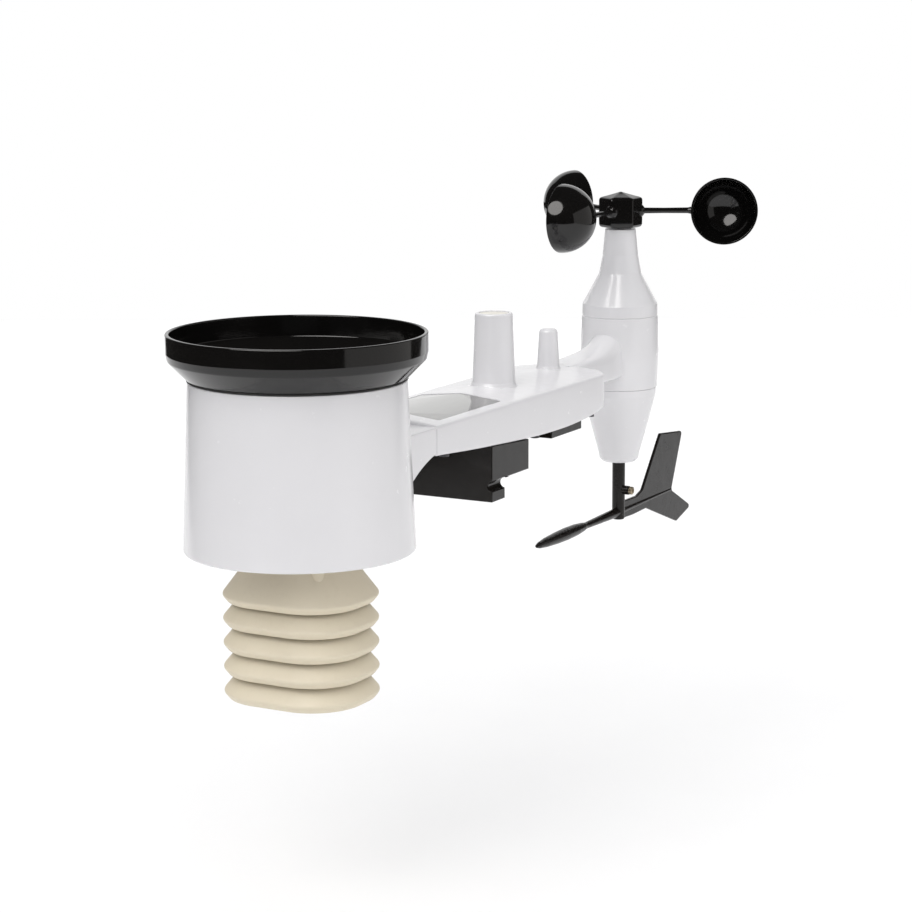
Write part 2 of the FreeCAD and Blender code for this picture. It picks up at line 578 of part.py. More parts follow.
# ---------------------------------------------------------------- arm, bottom cover
cover_outer = side_slab("cover_side", [
    (S.arm_start + S.arm_wall + 0.1, 12.3), (-13.0, 6.8), (22.0, 4.5), (64.0, 3.9), (104.0, 5.7),
    (S.arm_end - S.arm_round - 2.1, 7.4), (S.arm_end - S.arm_round - 2.1, 5.4), (104.0, 3.6),
    (64.0, 1.8), (22.0, 2.4), (-13.0, 4.7), (S.arm_start + S.arm_wall + 0.1, 10.3),
], S.arm_half - S.arm_wall - 0.1, S.arm_start + S.arm_wall + 0.1, 1.8)
bay_hole = box("bay_hole", S.bay_start, S.bay_end, ZERO - S.bay_half, S.bay_half, -5, 12)
button_hole = cylinder("button_hole", 2.2, 10, 42, 14, 0)
led_hole = cylinder("led_hole", 1.6, 10, 42, -14, 0)
cover_holes = [cylinder("cover_hole_%d" % i, 1.6, 14, x, y, 0)
               for i, (x, y) in enumerate(ARM_SCREWS + BRACKET_SCREWS)]
node(cut("arm_cover", cover_outer, bay_hole, button_hole, led_hole, *cover_holes))
COVER_FOOT = {-78.0: 9.35, 32.0: 2.3, 106.0: 3.8}
arm_screws = []
for i, (x, y) in enumerate(ARM_SCREWS):
    head_z = COVER_FOOT[x] - 1.8
    shank = cylinder("arm_screw_shank_%d" % i, 1.25, BOSS_TOP - 3 - head_z, x, y, head_z)
    head = cylinder("arm_screw_head_%d" % i, 2.7, 1.5, x, y, head_z)
    arm_screws.append(fuse("arm_screw_%d" % i, shank, head))
node(fuse("arm_screws", *arm_screws))
BOARD_Z = 14.6
chips = [box("chip_%d" % i, x, x + dx, y, y + dy, BOARD_Z, BOARD_Z + dz)
         for i, (x, y, dx, dy, dz) in enumerate([(-40, -8, 14, 14, 1.4), (-5, -14, 9, 9, 1.2),
                                                 (12, 2, 18, 12, 3.0), (-60, 8, 8, 6, 5.0)])]
node(fuse("main_board", box("board_sheet", -66, 44, -20, 20, BOARD_Z - 1.6, BOARD_Z), *chips))
node(fuse("reset_button", cylinder("button_stem", 2.0, 7.4, 42, 14, 1.0),
          cylinder("button_collar", 3.0, 1.0, 42, 14, 5.4)))
node(fuse("status_lens", cylinder("lens_stem", 1.6, 6.5, 42, -14, 2.0),
          cylinder("lens_collar", 2.4, 1.0, 42, -14, 5.4)))

# ---------------------------------------------------------------- battery bay
bay_outer = box("bay_outer", S.bay_start + 0.2, S.bay_end - 0.2, ZERO - S.bay_half + 0.2,
                S.bay_half - 0.2, 4.4, 22.0)
bay_inner = box("bay_inner", S.bay_start + 1.8, S.bay_end - 1.8, ZERO - S.bay_half + 1.8,
                S.bay_half - 1.8, 0, 20.4)
bay_mid = (S.bay_start + S.bay_end) / 2
bay_boss = cylinder("bay_boss", 2.2, 15, bay_mid, 0, 6.0)
bay_pilot = cylinder("bay_pilot", 1.6, 12, bay_mid, 0, 5.0)
node(cut("battery_bay", fuse("bay_full", cut("bay_tray", bay_outer, bay_inner), bay_boss),
         bay_pilot))
cells = []
for i, cell_x in enumerate((S.cell_a, S.cell_b)):
    can = cylinder("cell_can_%d" % i, S.cell_radius, S.cell_long - 1.5, cell_x, S.cell_long / 2 - 1.5,
                   S.cell_z, (1, 0, 0), 90)
    button = cylinder("cell_button_%d" % i, 2.6, 1.6, cell_x, S.cell_long / 2, S.cell_z,
                      (1, 0, 0), 90)
    cells.append(fuse("cell_%d" % i, can, button))
node(fuse("batteries", *cells))
contact_y = S.bay_half.value - 1.8 - 0.5
node(fuse("battery_contacts", *[
    box("contact_%d_%d" % (i, k), cell_x - 5, cell_x + 5, y0, y0 + 0.4, 6.5, 18.5)
    for i, cell_x in enumerate((S.cell_a, S.cell_b))
    for k, y0 in enumerate((-contact_y, contact_y - 0.4))]))
gap = S.door_gap
door_outer = box("door_outer", S.bay_start + gap, S.bay_end - gap, gap - S.bay_half,
                 S.bay_half - gap, S.door_foot, 3.6)
door_inner = box("door_inner", S.bay_start + 2.2, S.bay_end - 2.2, 2.2 - S.bay_half.value,
                 S.bay_half - 2.2, S.door_foot + 2.0, 5)
door_boss = cylinder("door_boss", 4.0, 5.5, bay_mid, 0, S.door_foot + 1)
door_bore = cylinder("door_bore", 1.5, 12, bay_mid, 0, S.door_foot - 1)
door_sink = cylinder("door_sink", 3.0, 2.0, bay_mid, 0, S.door_foot - 0.4)
node(cut("battery_door", fuse("door_full", cut("door_tray", door_outer, door_inner), door_boss),
         door_bore, door_sink))
node(fuse("battery_door_screw", cylinder("door_screw_shank", 1.5, 12.2, bay_mid, 0,
                                         S.door_foot + 1.6),
          cylinder("door_screw_head", 2.8, 1.4, bay_mid, 0, S.door_foot + 0.2)))

# ---------------------------------------------------------------- pole bracket
bracket_solid = side_slab("bracket_side", [
    (S.plate_back, S.plate_foot), (S.plate_front, S.plate_foot), (S.plate_front, S.block_foot),
    (S.block_front, S.block_foot), (S.block_front, 2.8), (-13.0, 4.65), (S.plate_back, 5.9),
], S.arm_half, S.plate_back, S.plate_foot)
pole_space = cylinder("pole_space", S.pole_radius, 40, 0, 0, -40)
u_notches = [cylinder("u_notch_%d" % i, S.notch_radius, 18, S.plate_back - 1,
                      (S.notch_y + 1.6) * side, S.notch_z, (0, 1, 0), 90)
             for i, side in enumerate((-1, 1))]
bracket_bores = [cylinder("bracket_bore_%d" % i, 1.6, 30, x, y, -16)
                 for i, (x, y) in enumerate(BRACKET_SCREWS)]
bracket_sinks = [cylinder("bracket_sink_%d" % i, 3.0, 5.2, x, y, -16)
                 for i, (x, y) in enumerate(BRACKET_SCREWS)]
node(cut("pole_bracket", bracket_solid, pole_space, *u_notches, *bracket_bores, *bracket_sinks))
bracket_screws = []
for i, (x, y) in enumerate(BRACKET_SCREWS):
    bracket_screws.append(fuse("bracket_screw_%d" % i,
                               cylinder("bracket_shank_%d" % i, 1.5, 22.6, x, y, -10.9),
                               cylinder("bracket_head_%d" % i, 2.8, 2.0, x, y, -12.9)))
node(fuse("bracket_screws", *bracket_screws))

# ---------------------------------------------------------------- wind mast
mast_tall = S.mast_top - S.mast_foot
mast_solid = cylinder("mast_solid", S.mast_radius, mast_tall, S.mast_x, 0, S.mast_foot)
mast_core = cylinder("mast_core", S.mast_radius - S.mast_wall, mast_tall, S.mast_x, 0, S.mast_foot)
DUCT_START = S.arm_end + 0.05
duct_outer = side_slab("duct_outer", [
    (DUCT_START, 13.2), (192.0, 13.2), (192.0, 43.5), (186.5, 42.0), (176.0, 36.5), (150.0, 31.4),
    (DUCT_START, 30.3),
], S.duct_half, DUCT_START, 13.2)
duct_inner = side_slab("duct_inner", [
    (DUCT_START, 15.8), (192.0, 15.8), (192.0, 28.0), (DUCT_START, 28.0),
], S.duct_half - 2.4, DUCT_START, 15.8)
node(cut("mast_housing", fuse("mast_full", mast_solid, duct_outer), mast_core, duct_inner))

CAP_WALL = 2.2
node(turned("mast_cap", [
    (S.mast_radius - CAP_WALL, S.mast_top + 0.05),
    (S.mast_radius - 0.2, S.mast_top + 0.05),
    (S.mast_radius - 0.2, 59.2),
    (13.3, 78.6),
    (11.2, 90.4),
    (9.7, 107.0),
    (S.bearing_radius + 0.02, 107.0),
    (S.bearing_radius + 0.02, 98.0),
    (3.2, 98.0),
    (3.2, 95.5),
    (8.6, 89.8),
    (10.9, 77.8),
    (S.mast_radius - CAP_WALL, 58.2),
], S.mast_x, S.mast_top + 0.05))
CONE_TOP = S.mast_foot - 0.05
node(turned("mast_cone", [
    (S.mast_radius - 0.1, CONE_TOP),
    (S.mast_radius - CAP_WALL, CONE_TOP),
    (S.mast_radius - CAP_WALL - 1.2, 0.2),
    (17.0, -13.0),
    (11.6, -34.5),
    (3.2, -36.0),
    (3.2, -37.5),
    (S.bearing_radius + 0.02, -37.5),
    (S.bearing_radius + 0.02, -45.5),
    (6.6, -45.5),
    (10.5, -43.9),
    (13.1, -39.8),
    (19.4, -12.5),
    (23.3, 0.0),
], S.mast_x, -45.5))


def race(label, z):
    """One plain bearing: a ring that fills its seat and clears the shaft."""
    ring = cylinder(label + "_ring", S.bearing_radius, 3.4, S.mast_x, 0, z)
    hole = cylinder(label + "_hole", S.shaft_radius + S.race_gap, 3.4, S.mast_x, 0, z)
    return cut(label, ring, hole)


node(fuse("rotor_bearings", race("rotor_race_low", 98.1), race("rotor_race_high", 103.0)))
node(cylinder("rotor_shaft", S.shaft_radius, 60.0, S.mast_x, 0, 62.0))
node(cylinder("rotor_magnet", 6.0, 4.0, S.mast_x, 0, 58.0))
node(cylinder("speed_board", 20.0, 1.6, S.mast_x, 0, 52.4))
node(fuse("vane_bearings", race("vane_race_low", -45.0), race("vane_race_high", -41.2)))
VANE_SHAFT_FOOT = -62.0
node(cylinder("vane_shaft", S.shaft_radius, 42.0, S.mast_x, 0, VANE_SHAFT_FOOT))
node(cylinder("vane_magnet", 6.0, 4.0, S.mast_x, 0, -20.0))
node(cylinder("direction_board", 15.0, 1.6, S.mast_x, 0, -9.0))

# ---------------------------------------------------------------- cup rotor
ROTOR_TURN = -61.26
CUP_TURNS = [ROTOR_TURN, ROTOR_TURN + 120, ROTOR_TURN + 240]
hub_prism = bound(named("Part::Prism", "hub_prism"), Circumradius=S.hub_radius,
                  Height=S.hub_tall)
hub_prism.Polygon = 6
place(hub_prism, S.mast_x, 0, S.hub_foot, (0, 0, 1), ROTOR_TURN)
hub_crown = cone("hub_crown", S.hub_radius * 0.86, 1.0, S.hub_peak, S.mast_x, 0,
                 S.hub_foot + S.hub_tall)
hub_bore = cylinder("hub_bore", S.shaft_radius, 122.0 - 109.7, S.mast_x, 0, S.hub_foot)
sockets = []
for i, turn in enumerate(CUP_TURNS):
    socket = bound(named("Part::Cylinder", "hub_socket_%d" % i), Radius=S.rod_radius, Height=12.0)
    around = math.radians(turn)
    aim = FreeCAD.Rotation(FreeCAD.Vector(0, 0, 1),
                           FreeCAD.Vector(math.cos(around), math.sin(around), 0))
    socket.Placement = FreeCAD.Placement(
        FreeCAD.Vector(S.mast_x.value + S.rod_root.value * math.cos(around),
                       S.rod_root.value * math.sin(around), S.rotor_z.value), aim)
    sockets.append(socket)
node(cut("cup_hub", fuse("hub_solid", hub_prism, hub_crown), hub_bore, *sockets))
for i, turn in enumerate(CUP_TURNS):
    tag = "_%d" % (i + 1)
    rod = cylinder("cup_rod" + tag, S.rod_radius, S.cup_arm - S.cup_radius - S.rod_root + 3.0,
                   S.rod_root, 0, 0, (0, 1, 0), 90)
    shell = bound(named("Part::Sphere", "cup_ball" + tag), Radius=S.cup_radius)
    hollow = bound(named("Part::Sphere", "cup_void" + tag), Radius=S.cup_radius - S.cup_wall)
    place(shell, S.cup_arm, ZERO - S.cup_offset, 0)
    place(hollow, S.cup_arm, ZERO - S.cup_offset, 0)
    rim = cylinder("cup_lip" + tag, S.cup_rim, S.cup_rim_wide, S.cup_arm,
                   S.cup_rim_wide - S.cup_offset, 0, (1, 0, 0), 90)
    half_space = box("cup_front" + tag, S.cup_arm - 30, S.cup_arm + 30, ZERO - S.cup_offset - 30,
                     ZERO - S.cup_offset, -30, 30)
    cup = cut("wind_cup" + tag, fuse("cup_solid" + tag, shell, rim, rod), hollow, half_space)
    node(place(cup, S.mast_x, 0, S.rotor_z, (0, 0, 1), turn))

# ---------------------------------------------------------------- wind vane
tube = cylinder("vane_stem", S.vane_tube, S.vane_head - S.vane_foot, S.mast_x, 0, S.vane_foot)
boom = cylinder("vane_boom", S.boom_radius, ZERO - S.nose_back, S.mast_x + S.nose_back, 0, S.vane_z,
                (0, 1, 0), 90)
nose = named("PartDesign::Body", "vane_nose")
nose_long = S.nose_back - S.nose_tip
nose_sketch = outline(nose, "XZ_Plane", [
    (0, 0), (S.boom_radius, 0), (S.nose_radius * 0.9, nose_long * 0.16),
    (S.nose_radius, nose_long * 0.36), (S.nose_radius * 0.86, nose_long * 0.62),
    (S.nose_radius * 0.5, nose_long * 0.9), (0, nose_long)], 0, 0)
nose_turn = nose.newObject("PartDesign::Revolution", "vane_nose_turn")
nose_turn.Profile = nose_sketch
nose_turn.ReferenceAxis = (nose_sketch, ["V_Axis"])
nose_turn.Angle = 360
nose.Tip = nose_turn
place(nose, S.mast_x + S.nose_back, 0, S.vane_z, (0, 1, 0), -90)
TAIL = [(2.0, -84.2), (44.0, -84.4), (53.3, -80.2), (97.3, -104.9), (117.6, -96.6), (86.4, -80.4),
        (84.7, -78.0), (100.5, -41.5), (58.8, -38.4), (33.8, -71.1), (26.0, -74.6), (2.0, -74.2)]
tail = side_slab("vane_tail", [(S.mast_x + x, z) for x, z in TAIL], S.tail_thick / 2,
                 S.mast_x, -104.9)
rib = cylinder("vane_rib", S.boom_radius, 84.0, S.mast_x, 0, S.vane_z, (0, 1, 0), 90)
screw_boss = cylinder("vane_boss", 2.9, 8.0, S.mast_x, 0, -64.5, (1, 0, 0), 90)
stem_bore = cylinder("vane_stem_bore", S.shaft_radius, 16.2, S.mast_x, 0, VANE_SHAFT_FOOT)
grub_bore = cylinder("vane_grub_bore", 1.3, 12.0, S.mast_x, -1.0, -64.5, (1, 0, 0), 90)
node(cut("wind_vane", fuse("vane_full", tube, boom, nose, tail, rib, screw_boss), stem_bore,
         grub_bore))
node(fuse("vane_set_screw", cylinder("vane_grub", 1.3, 7.5, S.mast_x, -1.0, -64.5, (1, 0, 0), 90),
          cylinder("vane_grub_head", 2.6, 2.6, S.mast_x, -8.0, -64.5, (1, 0, 0), 90)))

# ---------------------------------------------------------------- check and write
doc.recompute()
for item in doc.Objects:
    if "Invalid" in item.State or "Error" in item.State:
        raise RuntimeError("%s failed: %s" % (item.Label, item.State))
os.makedirs("parts", exist_ok=True)
for item in NODES:
    if item.Shape.isNull() or not item.Shape.isValid():
        raise RuntimeError("%s has no valid shape" % item.Label)
    item.Shape.exportStep(os.path.join("parts", item.Label + ".step"))
    print("%-22s solids %d volume %.1f" % (item.Label, len(item.Shape.Solids), item.Shape.Volume))
print(len(NODES), "nodes")
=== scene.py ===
import json
import math

import bmesh
import bpy
from mathutils import Matrix, Vector


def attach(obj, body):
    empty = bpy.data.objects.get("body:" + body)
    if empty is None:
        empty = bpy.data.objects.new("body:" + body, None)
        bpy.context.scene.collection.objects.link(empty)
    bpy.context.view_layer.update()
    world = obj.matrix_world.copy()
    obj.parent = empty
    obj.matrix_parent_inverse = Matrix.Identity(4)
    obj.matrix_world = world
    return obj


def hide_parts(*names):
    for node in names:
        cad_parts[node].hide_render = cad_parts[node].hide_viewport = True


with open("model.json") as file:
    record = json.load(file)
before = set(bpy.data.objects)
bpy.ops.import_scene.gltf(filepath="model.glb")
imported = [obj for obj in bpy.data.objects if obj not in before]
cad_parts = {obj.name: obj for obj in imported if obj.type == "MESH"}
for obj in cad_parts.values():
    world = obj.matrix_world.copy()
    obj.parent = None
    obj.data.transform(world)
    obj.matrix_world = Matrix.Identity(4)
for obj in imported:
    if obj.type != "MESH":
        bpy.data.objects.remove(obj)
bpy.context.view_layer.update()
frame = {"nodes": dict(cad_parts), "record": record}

MM = 0.001                               # shapes below are written in millimetres
RAIN_X = -183.0                          # axis of the rain gauge
MAST_X = 209.0                           # axis of the wind mast
ARM_START, ARM_END, ARM_HALF = -94.0, 125.7, 33.0
NECK_HALF, NECK_TOP = 32.4, 26.6
LARGE_POST_X, SMALL_POST_X = 34.2, 105.8
WINDOW_START, WINDOW_END, WINDOW_HALF = -80.0, -6.4, 26.0
LOUVRE_TOP, LOUVRE_PITCH = -50.2, 13.05  # widest level of the crown, and the step between louvres
LIP_DROP, LIP_INSET = 3.5, 2.8
HUB_Z, CUP_Z = 109.7, 118.5              # foot of the cup hub, and the level of the cups' arms
CUP_ARM, CUP_OFFSET = 66.0, 8.0
CUP_OUTER, CUP_INNER = 21.5, 20.2
VANE_Z = -79.5                           # level of the vane's boom


# ---------------------------------------------------------------- materials
def noise_node(nodes, links, coords, scale, detail=3.0, rough=0.55, stretch=None):
    tex = nodes.new("ShaderNodeTexNoise")
    tex.inputs["Scale"].default_value = scale
    tex.inputs["Detail"].default_value = detail
    tex.inputs["Roughness"].default_value = rough
    if stretch:
        mapping = nodes.new("ShaderNodeMapping")
        mapping.inputs["Scale"].default_value = stretch
        links.new(coords, mapping.inputs["Vector"])
        links.new(mapping.outputs["Vector"], tex.inputs["Vector"])
    else:
        links.new(coords, tex.inputs["Vector"])
    return tex.outputs["Fac"]


def spread(nodes, links, value, low, high, start=0.3, end=0.7):
    ranged = nodes.new("ShaderNodeMapRange")
    ranged.inputs["From Min"].default_value = start
    ranged.inputs["From Max"].default_value = end
    ranged.inputs["To Min"].default_value = low
    ranged.inputs["To Max"].default_value = high
    links.new(value, ranged.inputs["Value"])
    return ranged.outputs["Result"]


def mixed(nodes, links, factor, first, second):
    mix = nodes.new("ShaderNodeMix")
    mix.data_type = "RGBA"
    links.new(factor, mix.inputs["Factor"])
    for socket, colour in ((mix.inputs[6], first), (mix.inputs[7], second)):
        if hasattr(colour, "links"):
            links.new(colour, socket)
        else:
            socket.default_value = (*colour, 1)
    return mix.outputs[2]


def material(name, colour, rough=0.3, vary=0.04, grain=1400, bump=0.05, tone=0.04, metal=0.0,
             coat=0.0, coat_rough=0.05, ior=1.5, stretch=None, dust=None, specular=0.5,
             wave=45, wave_bump=0.0):
    """Moulded or machined surface: tone and roughness that drift, and a fine grain in the bump."""
    mat = bpy.data.materials.new(name)
    mat.use_nodes = True
    nodes, links = mat.node_tree.nodes, mat.node_tree.links
    shader = nodes["Principled BSDF"]
    coords = nodes.new("ShaderNodeTexCoord").outputs["Object"]
    drift = noise_node(nodes, links, coords, 22, 4, 0.6)
    tint = spread(nodes, links, drift, 0, 1)
    low = tuple(c * (1 - tone) for c in colour)
    high = tuple(min(1, c * (1 + tone)) for c in colour)
    base = mixed(nodes, links, tint, low, high)
    if dust:
        speck = noise_node(nodes, links, coords, 260, 5, 0.7)
        base = mixed(nodes, links, spread(nodes, links, speck, 0, dust[1], 0.52, 0.72), base, dust[0])
    links.new(base, shader.inputs["Base Color"])
    shader.inputs["Metallic"].default_value = metal
    shader.inputs["IOR"].default_value = ior
    shader.inputs["Specular IOR Level"].default_value = specular
    shader.inputs["Coat Weight"].default_value = coat
    shader.inputs["Coat Roughness"].default_value = coat_rough
    patch = noise_node(nodes, links, coords, 130, 5, 0.6, stretch)
    links.new(spread(nodes, links, patch, rough - vary, rough + vary), shader.inputs["Roughness"])
    fine = noise_node(nodes, links, coords, grain, 2, 0.5, stretch)
    bump_node = nodes.new("ShaderNodeBump")
    bump_node.inputs["Strength"].default_value = bump
    bump_node.inputs["Distance"].default_value = 0.0002
    links.new(fine, bump_node.inputs["Height"])
    if wave_bump:
        slow = noise_node(nodes, links, coords, wave, 1, 0.4)
        swell = nodes.new("ShaderNodeBump")
        swell.inputs["Strength"].default_value = wave_bump
        swell.inputs["Distance"].default_value = 0.001
        links.new(slow, swell.inputs["Height"])
        links.new(swell.outputs["Normal"], bump_node.inputs["Normal"])
    links.new(bump_node.outputs["Normal"], shader.inputs["Normal"])
    return mat


def board_material(name):
    """Circuit board: solder mask over tracks, with small pads."""
    mat = material(name, (0.012, 0.10, 0.035), rough=0.33, grain=900, bump=0.04, tone=0.1, coat=0.4)
    nodes, links = mat.node_tree.nodes, mat.node_tree.links
    shader = nodes["Principled BSDF"]
    coords = nodes.new("ShaderNodeTexCoord").outputs["Object"]
    brick = nodes.new("ShaderNodeTexBrick")
    brick.inputs["Scale"].default_value = 180
    brick.inputs["Mortar Size"].default_value = 0.06
    brick.inputs["Color1"].default_value = (0.012, 0.10, 0.035, 1)
    brick.inputs["Color2"].default_value = (0.009, 0.075, 0.03, 1)
    brick.inputs["Mortar"].default_value = (0.05, 0.22, 0.08, 1)
    links.new(coords, brick.inputs["Vector"])
    links.new(brick.outputs["Color"], shader.inputs["Base Color"])
    return mat


def cell_material(name):
    """Solar cells under a tinted window: dark strips with thin silver collector lines along X."""
    mat = material(name, (0.055, 0.052, 0.04), rough=0.10, vary=0.03, grain=700, bump=0.01,
                   tone=0.1, coat=1.0, coat_rough=0.03, ior=1.6)
    nodes, links = mat.node_tree.nodes, mat.node_tree.links
    shader = nodes["Principled BSDF"]
    coords = nodes.new("ShaderNodeTexCoord").outputs["Object"]
    brick = nodes.new("ShaderNodeTexBrick")
    brick.offset = 0.0
    brick.inputs["Scale"].default_value = 1.0
    brick.inputs["Brick Width"].default_value = 0.0735
    brick.inputs["Row Height"].default_value = 0.0065
    brick.inputs["Mortar Size"].default_value = 0.00035
    brick.inputs["Mortar Smooth"].default_value = 0.3
    brick.inputs["Color1"].default_value = (0.060, 0.056, 0.042, 1)
    brick.inputs["Color2"].default_value = (0.048, 0.046, 0.038, 1)
    brick.inputs["Mortar"].default_value = (0.17, 0.165, 0.14, 1)
    links.new(coords, brick.inputs["Vector"])
    links.new(brick.outputs["Color"], shader.inputs["Base Color"])
    return mat


WHITE = material("white_gloss", (0.80, 0.795, 0.815), rough=0.24, vary=0.035, grain=1800, bump=0.035,
                 tone=0.012, coat=0.25, coat_rough=0.12, wave_bump=0.02)
WHITE_SATIN = material("white_satin", (0.76, 0.755, 0.77), rough=0.38, vary=0.05, grain=1500,
                       bump=0.08, tone=0.015)
BLACK = material("black_gloss", (0.0045, 0.0042, 0.0040), rough=0.09, vary=0.03, grain=900, bump=0.02,
                 tone=0.2, wave_bump=0.03)
BLACK_BAND = material("black_bracket", (0.0055, 0.0043, 0.0034), rough=0.14, vary=0.04, grain=1200,
                      bump=0.04, tone=0.15, specular=0.3, wave_bump=0.03)
BLACK_SATIN = material("black_satin", (0.010, 0.0095, 0.009), rough=0.34, vary=0.06, grain=1600,
                       bump=0.1, tone=0.12)
VANE = material("vane_satin", (0.0062, 0.0048, 0.0042), rough=0.25, vary=0.05, grain=1300, bump=0.07,
                tone=0.1, specular=0.3)
CREAM = material("shield_cream", (0.76, 0.685, 0.535), rough=0.55, vary=0.06, grain=1500, bump=0.08,
                 tone=0.02, specular=0.35, dust=((0.58, 0.50, 0.37), 0.12))
GREY = material("grey_plastic", (0.30, 0.30, 0.31), rough=0.42, vary=0.06, grain=1500, bump=0.12)
RUBBER = material("seal_rubber", (0.012, 0.012, 0.012), rough=0.7, vary=0.08, grain=1800, bump=0.2)
DIFFUSER = material("diffuser", (0.80, 0.775, 0.70), rough=0.45, vary=0.05, grain=1500, bump=0.06)
STEEL = material("steel", (0.60, 0.60, 0.61), rough=0.28, vary=0.1, grain=2200, bump=0.08, metal=1.0,
                 stretch=(1, 1, 9))
BRASS = material("brass", (0.36, 0.30, 0.21), rough=0.34, vary=0.1, grain=2200, bump=0.08, metal=1.0,
                 stretch=(1, 9, 1))
MAGNET = material("magnet_nickel", (0.62, 0.61, 0.59), rough=0.18, vary=0.08, grain=1400, bump=0.04,
                  metal=1.0)
BATTERY = material("cell_wrap", (0.06, 0.075, 0.10), rough=0.25, vary=0.06, grain=800, bump=0.03,
                   coat=0.5)
LENS = material("lens_red", (0.42, 0.035, 0.02), rough=0.12, vary=0.04, grain=700, bump=0.02, coat=0.6)
# steel darkened as painted shade: the arm's screw heads sit in shade under the arm and are drawn dark for
# that
STEEL_PAINTED_SHADE = material("steel_painted_shade", (0.10, 0.10, 0.105), rough=0.35, vary=0.1, grain=2200, bump=0.08,
                      metal=1.0)
BOARD = board_material("circuit_board")
CELLS = cell_material("solar_window")
FLOOR = material("floor_pale", (0.88, 0.88, 0.885), rough=0.75, vary=0.05, grain=900, bump=0.04,
                 tone=0.01, specular=0.1)
FLOOR.node_tree.nodes["Principled BSDF"].inputs["Emission Color"].default_value = (1, 1, 1, 1)
FLOOR.node_tree.nodes["Principled BSDF"].inputs["Emission Strength"].default_value = 0.12

SLOT_OF = {s["node"]: s["material_slot"] for s in frame["record"]["subparts"]}
MAT_OF_SLOT = {
    "gloss_black": BLACK, "satin_black": BLACK_SATIN, "vane_plastic": VANE, "white_gloss": WHITE,
    "white_satin": WHITE_SATIN, "shield_cream": CREAM, "grey_plastic": GREY, "seal_rubber": RUBBER,
    "window_glass": CELLS, "solar_cell": CELLS, "diffuser": DIFFUSER, "steel": STEEL, "brass": BRASS,
    "magnet": MAGNET, "circuit_board": BOARD, "cell_wrap": BATTERY, "lens": LENS,
}
BODY_OF = {node: body for body, names in frame["record"]["behaviour"]["bodies"].items()
           for node in names}


# ---------------------------------------------------------------- mesh helpers
def finish_piece(obj, node, mat):
    """Rides on the node's body, stands for the node and takes the given material."""
    obj.data.materials.clear()
    obj.data.materials.append(mat)
    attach(obj, BODY_OF[node])
    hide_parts(node)
    return obj


def link(name, bm, sharp=38, bevel=0.0):
    """An object from a mesh under construction: smooth faces, sharp creases, even normals."""
    bmesh.ops.remove_doubles(bm, verts=bm.verts, dist=1e-6)
    bmesh.ops.recalc_face_normals(bm, faces=bm.faces)
    mesh = bpy.data.meshes.new(name)
    bm.to_mesh(mesh)
    bm.free()
    mesh.shade_smooth()
    mesh.set_sharp_from_angle(angle=math.radians(sharp))
    obj = bpy.data.objects.new(name, mesh)
    bpy.context.scene.collection.objects.link(obj)
    if bevel:
        mod = obj.modifiers.new("bevel", "BEVEL")
        mod.width = bevel * MM
        mod.segments = 2
        mod.limit_method = "ANGLE"
        mod.angle_limit = math.radians(32)
        mod.use_clamp_overlap = False
    mod = obj.modifiers.new("normals", "WEIGHTED_NORMAL")
    mod.keep_sharp = True
    mod.weight = 60
    return obj


def rounded(corners, steps=5):
    """Rounds a closed outline. Each corner is (u, v) or (u, v, radius)."""
    out = []
    count = len(corners)
    for i, corner in enumerate(corners):
        p = Vector(corner[:2])
        r = corner[2] if len(corner) > 2 else 0
        a = Vector(corners[i - 1][:2]) - p
        b = Vector(corners[(i + 1) % count][:2]) - p
        if r <= 0 or a.length < 1e-6 or b.length < 1e-6:
            out.append(p)
            continue
        half = a.angle(b) / 2
        if half > math.radians(89) or half < math.radians(2):
            out.append(p)
            continue
        reach = min(r / math.tan(half), a.length * 0.49, b.length * 0.49)
        r = reach * math.tan(half)
        centre = p + (a.normalized() + b.normalized()).normalized() * (r / math.sin(half))
        start = p + a.normalized() * reach - centre
        end = p + b.normalized() * reach - centre
        turn = start.angle_signed(end)
        for k in range(steps + 1):
            t = -turn * k / steps
            c, s = math.cos(t), math.sin(t)
            out.append(centre + Vector((start.x * c - start.y * s, start.x * s + start.y * c)))
    return out


def skin(bm, rings, closed=True, ends=False):
    """Quads between rings of equal count; rings join up again when closed."""
    loops = [[bm.verts.new(Vector(p) * MM) for p in ring] for ring in rings]
    pairs = list(zip(loops, loops[1:]))
    if closed:
        pairs.append((loops[-1], loops[0]))
    for first, second in pairs:
        count = len(first)
        for k in range(count):
            quad = (first[k], first[(k + 1) % count], second[(k + 1) % count], second[k])
            bm.faces.new(quad)
    if ends:
        bm.faces.new(loops[0])
        bm.faces.new(list(reversed(loops[-1])))
    return loops


def circle(radius, z, segments=144, x=0.0, y=0.0):
    return [(x + radius * math.cos(2 * math.pi * k / segments),
             y + radius * math.sin(2 * math.pi * k / segments), z) for k in range(segments)]


def lathe(name, corners, x=0.0, y=0.0, segments=144, steps=5, sharp=38):
    """A turned shape: the outline's corners are (radius, z) or (radius, z, rounding)."""
    bm = bmesh.new()
    outline = rounded(corners, steps)
    rings = [circle(max(p.x, 0.0), p.y, segments, x, y) for p in outline]
    skin(bm, rings)
    drop_empty(bm)
    return link(name, bm, sharp)


def drop_empty(bm):
    """Removes the zero-width faces that an outline makes on the axis."""
    bmesh.ops.remove_doubles(bm, verts=bm.verts, dist=1e-7)
    bmesh.ops.dissolve_degenerate(bm, edges=bm.edges, dist=1e-7)


def move(obj, matrix):
    obj.data.transform(matrix)
    return obj


def join(name, *objects):
    """One mesh from several, so that a node has one piece with several closed shells."""
    bm = bmesh.new()
    for obj in objects:
        bm.from_mesh(obj.data)
    for obj in objects:
        bpy.data.objects.remove(obj)
    return link(name, bm)


